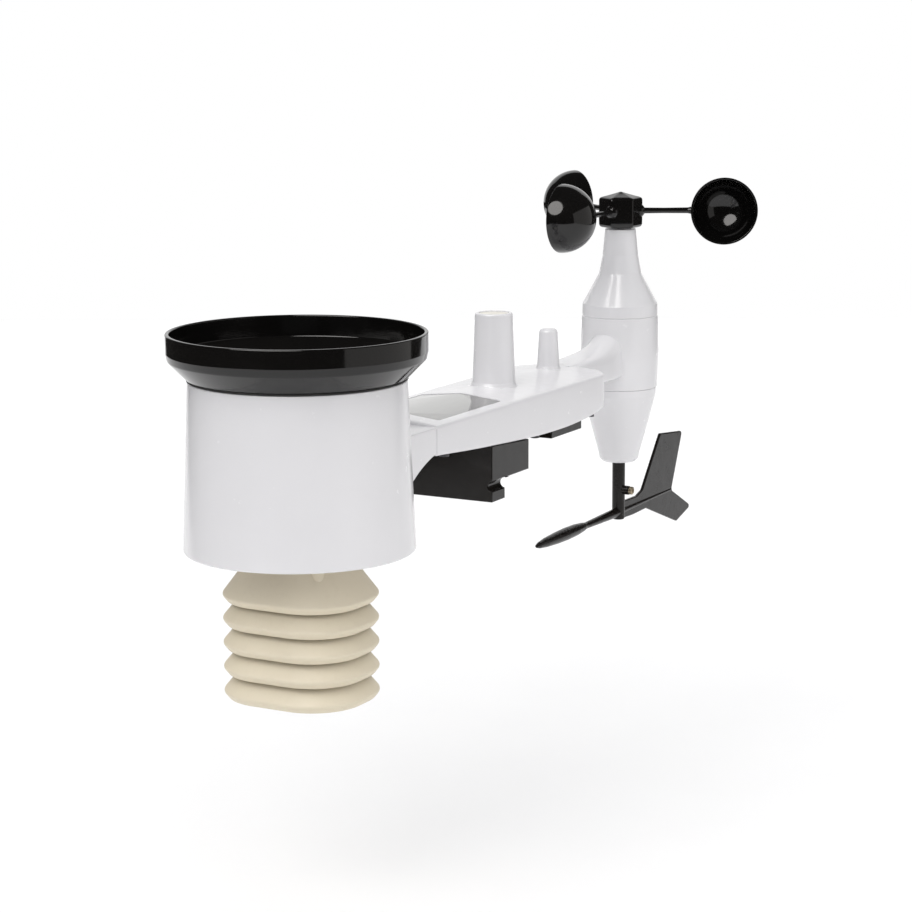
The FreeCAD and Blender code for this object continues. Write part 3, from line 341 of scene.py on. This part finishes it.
def sector(r0, r1, z0, z1, middle, width, x, edge=0.3):
    """A block between two radii, over a width in degrees."""
    bm = bmesh.new()
    steps = max(6, int(width / 2.5))
    outline = rounded([(r0, z0, edge), (r1, z0, edge), (r1, z1, edge), (r0, z1, edge)], 2)
    rings = []
    for k in range(steps + 1):
        a = math.radians(middle - width / 2 + width * k / steps)
        rings.append([(x + p.x * math.cos(a), p.x * math.sin(a), p.y) for p in outline])
    skin(bm, rings, closed=False, ends=True)
    return link("sector", bm)


def rod(name, start, end, r0, r1=None, segments=32, edge=0.3):
    """A round bar from start to end, its ends rounded a little."""
    r1 = r0 if r1 is None else r1
    a, b = Vector(start), Vector(end)
    long = (b - a).length
    obj = lathe(name, [(0, 0), (r0, 0, edge), (r1, long, edge), (0, long)], segments=segments, steps=3)
    aim = Vector((0, 0, 1)).rotation_difference(b - a).to_matrix().to_4x4()
    return move(obj, Matrix.Translation(a * MM) @ aim)


def refine(node, mat, width):
    """The node's own shape with worn-in moulded edges instead of knife edges."""
    source = frame["nodes"][node]
    bm = bmesh.new()
    bm.from_mesh(source.data)
    bmesh.ops.remove_doubles(bm, verts=bm.verts, dist=2e-6)
    bmesh.ops.dissolve_limit(bm, angle_limit=math.radians(0.6), verts=bm.verts, edges=bm.edges)
    obj = link(node + "_moulded", bm, sharp=32, bevel=width)
    return finish_piece(obj, node, mat)


# ---------------------------------------------------------------- funnel
def build_funnel():
    fall = (76.5 - 31.0) / (65.8 - 4.6)
    body = lathe("funnel_bowl", [
        (4.6, 22.0, 0.5), (6.8, 22.0, 0.5), (6.8, 31.0 + fall * 2.2 - 2.4, 1.2),
        (49.6, 31.0 + fall * 45.0 - 2.4, 1.5), (49.6, 52.0, 0.5), (51.6, 52.0, 0.5),
        (51.6, 64.6, 0.4), (57.9, 64.6, 0.7), (67.2, 74.1, 2.2), (68.0, 78.0, 3.0),
        (68.0, 88.0, 0.75), (65.9, 88.0, 0.75), (65.2, 76.5, 1.0), (4.6, 31.0, 2.5),
    ], RAIN_X, segments=200)
    parts = [body]
    # three bayonet lugs on the skirt
    for middle in (90, 210, 330):
        parts.append(sector(51.2, 54.0, 53.8, 56.8, middle, 10, RAIN_X))
    finish_piece(join("funnel_moulded", *parts), "funnel", BLACK)


build_funnel()
finish_piece(lathe("funnel_seal_ring", [(52.5, 63.3, 0.3), (57.6, 63.3, 0.5), (57.6, 64.5, 0.5),
                                        (52.5, 64.5, 0.3)], RAIN_X), "funnel_seal", RUBBER)


# ---------------------------------------------------------------- rain housing with its neck
def build_housing():
    shell = lathe("housing_shell", [
        (57.1, 63.2, 0.7), (60.9, -26.6, 1.1), (58.7, -26.6, 0.5), (54.9, 63.2, 0.5),
    ], RAIN_X, segments=200, steps=5)
    parts = [shell]
    for middle in (30, 150, 270):
        parts.append(sector(52.0, 55.6, 58.0, 60.0, middle, 102, RAIN_X))
    # neck: as wide as the arm, with an underside that curves down to the wall
    under = [(-94.05, 10.8), (-97.5, 10.1), (-101.0, 8.95), (-104.2, 7.8), (-107.2, 6.6), (-110.4, 5.2),
             (-113.5, 3.6), (-116.5, 1.9), (-119.5, 0.1), (-122.8, -2.1), (-126.0, -4.4), (-131.5, -8.6)]
    bm = bmesh.new()
    skin(bm, [neck_ring(x, low, NECK_TOP) for x, low in under], closed=False, ends=True)
    parts.append(link("housing_neck", bm))
    finish_piece(join("rain_housing_moulded", *parts), "rain_housing", WHITE)


def neck_ring(x, low, high):
    """The neck's section at one x: flat sides with small rounded edges."""
    outline = rounded([(-NECK_HALF, low, 1.6), (NECK_HALF, low, 1.6),
                       (NECK_HALF, high, 1.0), (-NECK_HALF, high, 1.0)], 5)
    return [(x, p.x, p.y) for p in outline]


build_housing()


# ---------------------------------------------------------------- radiation shield
def plate_ring(inset, z, arc=20):
    hx, hy = 34.5 - inset, 40.5 - inset
    r = max(29.5 - inset, 3.0)
    out = []
    for sx, sy, start in ((1, 1, 0), (-1, 1, 90), (-1, -1, 180), (1, -1, 270)):
        for k in range(arc + 1):
            a = math.radians(start + 90 * k / arc)
            out.append((RAIN_X + sx * (hx - r) + r * math.cos(a), sy * (hy - r) + r * math.sin(a), z))
    return out


def plate(name, corners):
    bm = bmesh.new()
    skin(bm, [plate_ring(p.x, p.y) for p in rounded(corners, 4)])
    return link(name, bm)


def build_shield():
    top = -24.1
    slope = 0.756
    z = LOUVRE_TOP
    crown = plate("crown", [
        ((top - z) * slope, top), (0.0, z, 1.6), (LIP_INSET, z - LIP_DROP, 0.7),
        (LIP_INSET + 1.6, z - LIP_DROP, 0.4),
        (2.1, z, 1.0), ((top - z) * slope + 1.6, top - 1.6),
    ])
    lid = plate("lid", [(19.0, top, 0.3), (34.0, top), (34.0, top - 1.6), (19.6, top - 1.6, 0.3)])
    columns = [rod("column", (RAIN_X + sx * 18, sy * 22, -54.1), (RAIN_X + sx * 18, sy * 22, -30), 3.2)
               for sx in (-1, 1) for sy in (-1, 1)]
    finish_piece(join("shield_crown_moulded", crown, lid, *columns), "shield_crown", CREAM)
    for i in range(1, 5):
        z = LOUVRE_TOP - LOUVRE_PITCH * i
        low = plate("louvre", [
            (7.5, z + 9.0, 0.4), (0.0, z, 1.6), (LIP_INSET, z - LIP_DROP, 0.7),
            (LIP_INSET + 1.6, z - LIP_DROP, 0.4),
            (2.0, z, 1.0), (9.1, z + 7.4, 0.8), (22.5, z + 7.4, 0.4), (22.5, z + 9.0, 0.4),
        ])
        finish_piece(join("shield_louvre_%d_moulded" % i, low), "shield_louvre_%d" % i, CREAM)


build_shield()


# ---------------------------------------------------------------- arm
def roof(y, drop=0.0):
    return 30.5 - 0.1039 * abs(y) - drop


UNDER = [(-90.3, 10.4), (-52.0, 7.3), (-13.0, 4.7), (22.0, 2.7), (50.0, 1.9), (75.0, 2.1), (104.0, 4.0),
         (119.0, 7.4), (126.0, 9.6)]


def underside(x):
    """Smooth underside line of the arm."""
    if x <= UNDER[0][0]:
        return UNDER[0][1]
    for i in range(len(UNDER) - 1):
        (x0, z0), (x1, z1) = UNDER[i], UNDER[i + 1]
        if x <= x1:
            before = UNDER[max(i - 1, 0)]
            after = UNDER[min(i + 2, len(UNDER) - 1)]
            m0 = (z1 - before[1]) / (x1 - before[0])
            m1 = (after[1] - z0) / (after[0] - x0)
            t = (x - x0) / (x1 - x0)
            span = x1 - x0
            return ((2 * t ** 3 - 3 * t ** 2 + 1) * z0 + (t ** 3 - 2 * t ** 2 + t) * span * m0
                    + (-2 * t ** 3 + 3 * t ** 2) * z1 + (t ** 3 - t ** 2) * span * m1)
    return UNDER[-1][1]


def plan(x0, x1, half, r_start, r_end, inset=0.0, along=60, across=16, arc=10):
    """A rounded rectangle seen from above, with the same number of points at every inset."""
    x0, x1, half = x0 + inset, x1 - inset, half - inset
    ra, rb = max(r_end - inset, 0.25), max(r_start - inset, 0.25)
    out = []
    for k in range(along):
        t = k / along
        out.append((x0 + rb + (x1 - ra - x0 - rb) * t, -half))
    for k in range(arc):
        a = math.radians(-90 + 90 * k / arc)
        out.append((x1 - ra + ra * math.cos(a), -half + ra + ra * math.sin(a)))
    for k in range(across):
        out.append((x1, -half + ra + (2 * half - 2 * ra) * k / across))
    for k in range(arc):
        a = math.radians(90 * k / arc)
        out.append((x1 - ra + ra * math.cos(a), half - ra + ra * math.sin(a)))
    for k in range(along):
        t = k / along
        out.append((x1 - ra + (x0 + rb - x1 + ra) * t, half))
    for k in range(arc):
        a = math.radians(90 + 90 * k / arc)
        out.append((x0 + rb + rb * math.cos(a), half - rb + rb * math.sin(a)))
    for k in range(across):
        out.append((x0, half - rb - (2 * half - 2 * rb) * k / across))
    for k in range(arc):
        a = math.radians(180 + 90 * k / arc)
        out.append((x0 + rb + rb * math.cos(a), -half + rb + rb * math.sin(a)))
    return out


def loop_edges(bm, loop):
    out = []
    for i, vert in enumerate(loop):
        other = loop[(i + 1) % len(loop)]
        out.append(bm.edges.get((vert, other)) or bm.edges.new((vert, other)))
    return out


def roof_fill(bm, loops, drop):
    """Fills between loops with the bent roof surface, creased along the ridge."""
    edges = [e for loop in loops for e in loop_edges(bm, loop)]
    made = bmesh.ops.triangle_fill(bm, edges=edges, use_beauty=True)["geom"]
    faces = [g for g in made if isinstance(g, bmesh.types.BMFace)]
    geom = list(faces)
    geom += list({e for f in faces for e in f.edges}) + list({v for f in faces for v in f.verts})
    cut = bmesh.ops.bisect_plane(bm, geom=geom, dist=1e-6, plane_co=(0, 0, 0), plane_no=(0, 1, 0))
    for vert in [g for g in cut["geom_cut"] if isinstance(g, bmesh.types.BMVert)]:
        vert.co.z = roof(vert.co.y / MM, drop) * MM


def build_arm():
    bm = bmesh.new()
    levels = []
    wall = 2.2
    sides = [
        (wall, lambda x, y: underside(x) + 9.0),
        (wall, lambda x, y: underside(x) + 0.4),
        (wall - 0.3, lambda x, y: underside(x) + 0.05),
        (1.0, lambda x, y: underside(x) + 0.0),
        (0.35, lambda x, y: underside(x) + 0.25),
        (0.05, lambda x, y: underside(x) + 0.8),
        (0.0, lambda x, y: underside(x) + 1.8),
        (0.0, lambda x, y: 0.5 * (underside(x) + roof(y))),
        (0.0, lambda x, y: roof(y) - 2.0),
        (0.1, lambda x, y: roof(y) - 1.2),
        (0.45, lambda x, y: roof(y) - 0.55),
        (1.05, lambda x, y: roof(y) - 0.15),
        (2.0, lambda x, y: roof(y)),
    ]
    for inset, height in sides:
        levels.append([(x, y, height(x, y)) for x, y in plan(ARM_START, ARM_END, ARM_HALF, 1.2, 12.0, inset)])
    loops = skin(bm, levels, closed=False)
    hole = plan(-80.1, -6.3, 26.1, 1.2, 1.2, -0.35, along=24, across=12, arc=5)
    recess = [[(x, y, roof(y)) for x, y in hole]]
    for inset, drop in ((-0.1, 0.12), (0.0, 0.4), (0.0, 1.55), (2.2, 1.55)):
        recess.append([(x, y, roof(y, drop)) for x, y in
                       plan(-80.1, -6.3, 26.1, 1.2, 1.2, inset, along=24, across=12, arc=5)])
    rims = skin(bm, recess, closed=False)
    roof_fill(bm, [loops[-1], rims[0]], 0.0)
    shell = link("arm_shell", bm, sharp=50)
    posts = [
        lathe("large_post", [(11.0, 24.0), (14.6, 28.3), (13.4, 30.2, 0.7), (12.8, 32.0, 2.0),
                             (11.2, 69.6), (11.1, 72.7, 2.3), (9.0, 72.7, 0.3),
                             (8.9, 71.6), (9.2, 69.0), (11.0, 30.0)], LARGE_POST_X, segments=96),
        lathe("small_post", [(5.0, 24.0), (8.4, 28.6), (7.4, 30.3, 0.7), (6.9, 32.0, 1.5),
                             (5.5, 54.7, 2.4), (0.0, 54.4), (0.0, 52.3), (4.0, 52.3), (5.0, 30.0)],
              SMALL_POST_X, segments=72),
    ]
    finish_piece(join("arm_top_moulded", shell, *posts), "arm_top", WHITE)


def build_window():
    bm = bmesh.new()
    levels = []
    for inset, drop in ((0.0, 1.5), (0.0, 0.55), (0.12, 0.4), (0.4, 0.3)):
        levels.append([(x, y, roof(y, drop)) for x, y in
                       plan(WINDOW_START, WINDOW_END, WINDOW_HALF, 1.1, 1.1, inset, along=24,
                            across=12, arc=5)])
    loops = skin(bm, levels, closed=False)
    roof_fill(bm, [loops[-1]], 0.3)
    roof_fill(bm, [loops[0]], 1.5)
    finish_piece(link("solar_window_sheet", bm, sharp=50), "solar_window", CELLS)


build_arm()
build_window()
finish_piece(lathe("diffuser_disc", [(0, 72.35), (5.0, 72.3), (8.8, 72.1, 0.4), (8.8, 70.4), (0, 70.4)],
                   LARGE_POST_X, segments=96), "light_diffuser", DIFFUSER)


# ---------------------------------------------------------------- wind mast
def build_mast():
    tube = lathe("mast_tube", [
        (24.0, 4.4, 0.35), (24.5, 4.9, 0.4), (24.9, 16.0, 20), (25.3, 28.0, 20), (24.9, 40.0, 20),
        (24.4, 50.7, 0.4), (23.9, 51.1, 0.3), (21.8, 51.1), (21.8, 4.4),
    ], MAST_X, segments=160)
    tops = [(118.0, 30.0), (125.8, 30.35), (138.0, 30.7), (150.0, 31.5), (160.0, 32.7), (168.0, 34.2),
            (176.0, 36.8), (181.0, 39.4), (186.0, 41.6), (190.0, 42.6)]
    rings = []
    for x, top in tops:
        flare = 1.8 * max(0.0, 1 - abs(x - 124.0) / 6.0)
        arch = 4.6 + 7.2 * min(1.0, max(0.0, (x - 146.0) / 34.0))
        outline = rounded([(-12 - flare, 13.2 - flare * 0.6, 2.6), (12 + flare, 13.2 - flare * 0.6, 2.6),
                           (12 + flare * 0.4, top, arch), (-12 - flare * 0.4, top, arch)], 12)
        rings.append([(x, p.x, p.y) for p in outline])
    bm = bmesh.new()
    skin(bm, rings, closed=False, ends=True)
    neck = link("mast_neck", bm)
    finish_piece(join("mast_housing_moulded", tube, neck), "mast_housing", WHITE)
    finish_piece(lathe("mast_cap_moulded", [
        (23.9, 51.15, 0.3), (24.2, 51.5, 0.3), (24.1, 58.6, 1.8), (13.5, 78.4, 6.0), (11.3, 90.4, 8.0),
        (9.75, 107.0, 0.5), (5.1, 107.0, 0.3), (5.1, 98.0), (3.2, 98.0), (3.2, 95.5), (8.6, 89.8),
        (10.9, 77.8), (22.2, 58.2), (22.2, 51.15),
    ], MAST_X, segments=160), "mast_cap", WHITE)
    finish_piece(lathe("mast_cone_moulded", [
        (24.0, 4.3, 0.35), (22.2, 4.3), (21.0, 0.2), (17.0, -13.0), (11.6, -34.5), (3.2, -36.0),
        (3.2, -37.5), (5.1, -37.5), (5.1, -45.0, 0.3), (10.4, -45.0, 0.8), (12.5, -43.0, 1.2),
        (13.3, -39.0, 3.0), (20.6, -12.3, 8.0), (23.6, -0.2, 8.0),
    ], MAST_X, segments=160), "mast_cone", WHITE)


build_mast()


# ---------------------------------------------------------------- cup rotor
def turn_about_mast(angle, z):
    """Places a shape made at the origin on the mast's axis, turned by an angle in degrees."""
    return (Matrix.Translation(Vector((MAST_X, 0, z)) * MM)
            @ Matrix.Rotation(math.radians(angle), 4, "Z"))


CUP_TURNS = (-61.26, 58.74, 178.74)


def build_rotor():
    bm = bmesh.new()
    rings = []
    for inset, z in ((5.6, -2.0), (2.6, -1.9), (1.4, -1.6), (0.5, -0.9), (0.1, 0.2), (0.0, 3.0), (0.0, 15.4),
                     (0.1, 16.2), (0.45, 16.9), (1.1, 17.4), (2.2, 17.8), (5.0, 18.5), (9.0, 19.6),
                     (12.2, 20.5), (13.2, 20.85), (14.0, 20.95)):
        r = 14.2 - inset
        outline = rounded([(r * math.cos(math.radians(60 * k)), r * math.sin(math.radians(60 * k)),
                            min(1.6, r * 0.4)) for k in range(6)], 6)
        rings.append([(p.x, p.y, z) for p in outline])
    skin(bm, rings, closed=False, ends=True)
    hub = link("hub", bm, sharp=60)
    parts = [hub]
    for k in range(3):
        boss = lathe("boss", [(0, 9.5), (4.2, 9.5), (4.2, 13.2, 0.5), (3.6, 14.2, 0.7), (2.1, 15.4, 0.9),
                              (0, 15.4)], segments=40, steps=3)
        move(boss, Matrix.Translation(Vector((0, 0, CUP_Z - HUB_Z)) * MM)
             @ Matrix.Rotation(math.radians(120 * k), 4, "Z") @ Matrix.Rotation(math.radians(90), 4, "Y"))
        parts.append(boss)
    whole = join("cup_hub_moulded", *parts)
    move(whole, turn_about_mast(CUP_TURNS[0], HUB_Z))
    finish_piece(whole, "cup_hub", BLACK)
    for i, angle in enumerate(CUP_TURNS):
        steps = [math.radians(90 * k / 24) for k in range(25)]
        outline = [(CUP_OUTER * math.sin(a), -CUP_OUTER * math.cos(a)) for a in steps]
        outline[-1] = (CUP_OUTER, 0.0, 0.3)
        outline.append((CUP_INNER, 0.0, 0.3))
        outline += [(CUP_INNER * math.sin(a), -CUP_INNER * math.cos(a)) for a in reversed(steps[:-1])]
        bowl = lathe("bowl", outline, segments=96, sharp=50)
        move(bowl, Matrix.Translation(Vector((CUP_ARM, -CUP_OFFSET, 0)) * MM)
             @ Matrix.Rotation(math.radians(90), 4, "X"))
        stem = lathe("stem", [(0, 9.0), (1.95, 9.0), (1.9, 15.0, 1.0), (1.75, 28.0, 1.0), (1.9, 43.2, 2.0),
                              (2.6, 46.2, 0.6), (2.2, 46.8), (0, 46.8)], segments=32)
        move(stem, Matrix.Rotation(math.radians(90), 4, "Y"))
        cup = join("wind_cup_%d_moulded" % (i + 1), bowl, stem)
        move(cup, turn_about_mast(angle, CUP_Z))
        finish_piece(cup, "wind_cup_%d" % (i + 1), BLACK)


build_rotor()


# ---------------------------------------------------------------- wind vane
def build_vane():
    parts = []
    stem = lathe("stem", [(0, -84.2), (3.6, -84.2, 0.8), (4.2, -83.2, 0.5), (4.2, -46.3, 0.5), (0, -46.3)],
                 MAST_X, segments=48)
    parts.append(stem)
    nose = lathe("nose", [
        (0, -44.0), (2.1, -44.0), (2.2, -50.0, 3.0), (2.9, -54.5, 3.0), (3.7, -64.0, 8.0),
        (4.0, -78.0, 12.0), (3.7, -92.0, 12.0), (3.0, -106.0, 8.0), (2.0, -115.0, 2.0), (1.0, -118.6, 0.8),
        (0, -119.0),
    ], segments=48)
    aim = Matrix.Rotation(math.radians(90), 4, "Y")
    parts.append(move(nose, Matrix.Translation(Vector((MAST_X, 0, VANE_Z)) * MM) @ aim))
    parts.append(rod("boom", (MAST_X - 46, 0, VANE_Z), (MAST_X, 0, VANE_Z), 2.2, 3.2))
    parts.append(rod("rib", (MAST_X, 0, VANE_Z), (MAST_X + 83, 0, -79.0), 2.2, 1.3))
    tail = rounded([(0.0, -84.6), (21.4, -85.3, 6), (42.4, -84.7, 6), (92.8, -103.0, 1.8),
                    (116.9, -96.4, 1.8), (85.0, -80.4, 2.0), (83.6, -78.4, 2.5), (100.5, -41.0, 2.2),
                    (64.3, -37.2, 2.2), (36.1, -71.0, 5), (27.1, -73.6, 3), (14.0, -73.4, 4),
                    (0.0, -73.4)], 5)
    bm = bmesh.new()
    rings = []
    for side, inset in ((-1.0, 0.9), (-1.0, 0.45), (-0.72, 0.08), (0.0, 0.0), (0.72, 0.08), (1.0, 0.45),
                        (1.0, 0.9)):
        rings.append([(MAST_X + p.x, side, p.y) for p in shrink(tail, inset)])
    loops = skin(bm, rings, closed=False)
    for loop in (loops[0], loops[-1]):
        bmesh.ops.triangle_fill(bm, edges=loop_edges(bm, loop), use_beauty=True)
    parts.append(link("tail", bm, sharp=60))
    parts.append(rod("boss", (MAST_X, 0, -64.5), (MAST_X, -8.0, -64.5), 3.0, 2.9, edge=0.5))
    finish_piece(join("wind_vane_moulded", *parts), "wind_vane", VANE)
    grub = lathe("grub", [(0, 0), (1.3, 0), (1.3, 7.0), (2.6, 7.0, 0.35), (2.6, 9.2, 0.6), (1.1, 9.6, 0.2),
                          (0.95, 8.6), (0, 8.6)], segments=40)
    move(grub, Matrix.Translation(Vector((MAST_X, -1.0, -64.5)) * MM)
         @ Matrix.Rotation(math.radians(90), 4, "X"))
    finish_piece(grub, "vane_set_screw", BRASS)


def shrink(outline, amount):
    """Moves a closed outline inwards by an amount, along its corner bisectors."""
    area = sum(outline[i - 1].x * outline[i].y - outline[i].x * outline[i - 1].y for i in range(len(outline)))
    sign = 1 if area > 0 else -1
    out = []
    for i, p in enumerate(outline):
        a = p - outline[i - 1]
        b = outline[(i + 1) % len(outline)] - p
        if a.length < 1e-6 or b.length < 1e-6:
            a = a if a.length >= b.length else b
            b = a
        n = Vector((-a.y, a.x)).normalized() + Vector((-b.y, b.x)).normalized()
        out.append(p + n.normalized() * amount * sign)
    return out


build_vane()


# ---------------------------------------------------------------- pieces that keep the CAD shape
REFINED = {
    "pole_bracket": (BLACK_BAND, 0.5), "battery_door": (BLACK_BAND, 0.5), "arm_cover": (WHITE_SATIN, 0.25),
    "battery_bay": (BLACK_SATIN, 0.2), "debris_screen": (BLACK_SATIN, 0.2), "rain_base": (WHITE_SATIN, 0.3),
    "bucket_frame": (WHITE_SATIN, 0.25), "tipping_bucket": (BLACK_SATIN, 0.2),
    "main_board": (BOARD, 0.1), "climate_filter": (GREY, 0.3),
}
for node, (mat, width) in REFINED.items():
    refine(node, mat, width)
for node, obj in frame["nodes"].items():
    if obj.hide_render:
        continue
    obj.data.materials.clear()
    # the arm's screws take the darkened steel, which is painted shade for their place under the arm
    obj.data.materials.append(STEEL_PAINTED_SHADE if node == "arm_screws" else MAT_OF_SLOT[SLOT_OF[node]])


# ---------------------------------------------------------------- stage, light and camera
CAMERA_TURN, CAMERA_PITCH, CAMERA_ROLL = (math.radians(a) for a in (61.26, 10.56, -0.23))
CAMERA_PLACE = (-1.3093, -0.7110, 0.2701)
LENS_MM = 2598.1 / 912 * 36              # from the fitted focal length in pixels
VIEW = (0.8768, 0.4808)                  # the floor lies square to the camera's view
FLOOR_Z = -0.22
FLOOR_CORNERS = [(-1.25, -0.95), (2.2, -0.95), (2.2, 1.3), (-1.25, 1.3)]
WARM = (1, 0.975, 0.95)                  # the softbox's tint
floor_mesh = bpy.data.meshes.new("floor")
floor_mesh.from_pydata([(a * VIEW[0] + b * VIEW[1], a * VIEW[1] - b * VIEW[0], FLOOR_Z)
                        for a, b in FLOOR_CORNERS], [], [(3, 2, 1, 0)])
floor = bpy.data.objects.new("floor", floor_mesh)
bpy.context.scene.collection.objects.link(floor)
floor.data.materials.append(FLOOR)

bpy.context.scene.view_settings.view_transform = "Standard"
bpy.context.scene.view_settings.look = "None"


def build_world(seen, diffuse, glossy):
    """A pale backdrop, with a dimmer room around the object for its shading and reflections."""
    world = bpy.data.worlds.new("studio")
    bpy.context.scene.world = world
    world.use_nodes = True
    nodes, links = world.node_tree.nodes, world.node_tree.links
    path = nodes.new("ShaderNodeLightPath")
    first = mixed(nodes, links, path.outputs["Is Diffuse Ray"], glossy, diffuse)
    second = mixed(nodes, links, path.outputs["Is Camera Ray"], first, seen)
    links.new(second, nodes["Background"].inputs["Color"])
    nodes["Background"].inputs["Strength"].default_value = 1.0


def panel(name, azimuth, elevation, distance, wide, tall, radiance, colour=(1, 1, 1), disk=False,
          glossy=True, diffuse=True, aim=(0, 0, 0)):
    """A soft light panel, placed by the direction it shines from."""
    az, el = math.radians(azimuth), math.radians(elevation)
    place = Vector((math.cos(az) * math.cos(el), math.sin(az) * math.cos(el), math.sin(el))) * distance
    place += Vector(aim)
    data = bpy.data.lights.new(name, "AREA")
    data.shape = "DISK" if disk else "RECTANGLE"
    data.size = wide
    if not disk:
        data.size_y = tall
    area = math.pi * wide * wide / 4 if disk else wide * tall
    data.energy = math.pi * area * radiance
    data.color = colour
    obj = bpy.data.objects.new(name, data)
    bpy.context.scene.collection.objects.link(obj)
    obj.location = place
    obj.rotation_euler = (Vector(aim) - place).to_track_quat("-Z", "Y").to_euler()
    obj.visible_camera = False
    obj.visible_glossy = glossy
    obj.visible_diffuse = diffuse
    return obj


build_world((1.0, 1.0, 1.0), (0.10, 0.10, 0.102), (0.035, 0.033, 0.031))
sky = bpy.data.lights.new("sky", "SUN")
sky.energy = 2.45
sky.angle = math.radians(110)
sky_lamp = bpy.data.objects.new("sky", sky)
bpy.context.scene.collection.objects.link(sky_lamp)
sky_lamp.rotation_euler = (math.radians(8), math.radians(-14), 0)
sky_lamp.visible_glossy = False
panel("backdrop", 28.7, 19, 3.2, 4.2, 2.5, 0.9)
panel("softbox", 177.8, 44.5, 1.8, 0.95, 0.95, 2.0, WARM, disk=True, glossy=False)
panel("softbox_seen", 177.8, 44.5, 1.7, 1.5, 1.5, 5.5, WARM, disk=True, diffuse=False)
panel("side_wall", -72, 8, 2.2, 3.6, 1.6, 0.55, WARM)
panel("mast_fill", 190, 16, 0.95, 0.5, 0.5, 0.35, glossy=False, aim=(0.26, -0.05, 0.03))
panel("left_fill", 122, 12, 2.0, 1.8, 1.4, 0.55, glossy=False)


def place_camera():
    """The camera that was fitted to the photograph."""
    psi, pitch, roll = CAMERA_TURN, CAMERA_PITCH, CAMERA_ROLL
    d = Vector((math.sin(psi) * math.cos(pitch), math.cos(psi) * math.cos(pitch), -math.sin(pitch)))
    r = Vector((math.cos(psi), -math.sin(psi), 0))
    u = r.cross(d)
    right = math.cos(roll) * r + math.sin(roll) * u
    up = -math.sin(roll) * r + math.cos(roll) * u
    data = bpy.data.cameras.new("camera")
    data.lens = LENS_MM
    data.sensor_width = 36
    data.clip_end = 60
    data.dof.use_dof = False
    camera = bpy.data.objects.new("camera", data)
    bpy.context.scene.collection.objects.link(camera)
    matrix = Matrix((right, up, -d)).transposed().to_4x4()
    matrix.translation = Vector(CAMERA_PLACE)
    camera.matrix_world = matrix
    bpy.context.scene.camera = camera


place_camera()
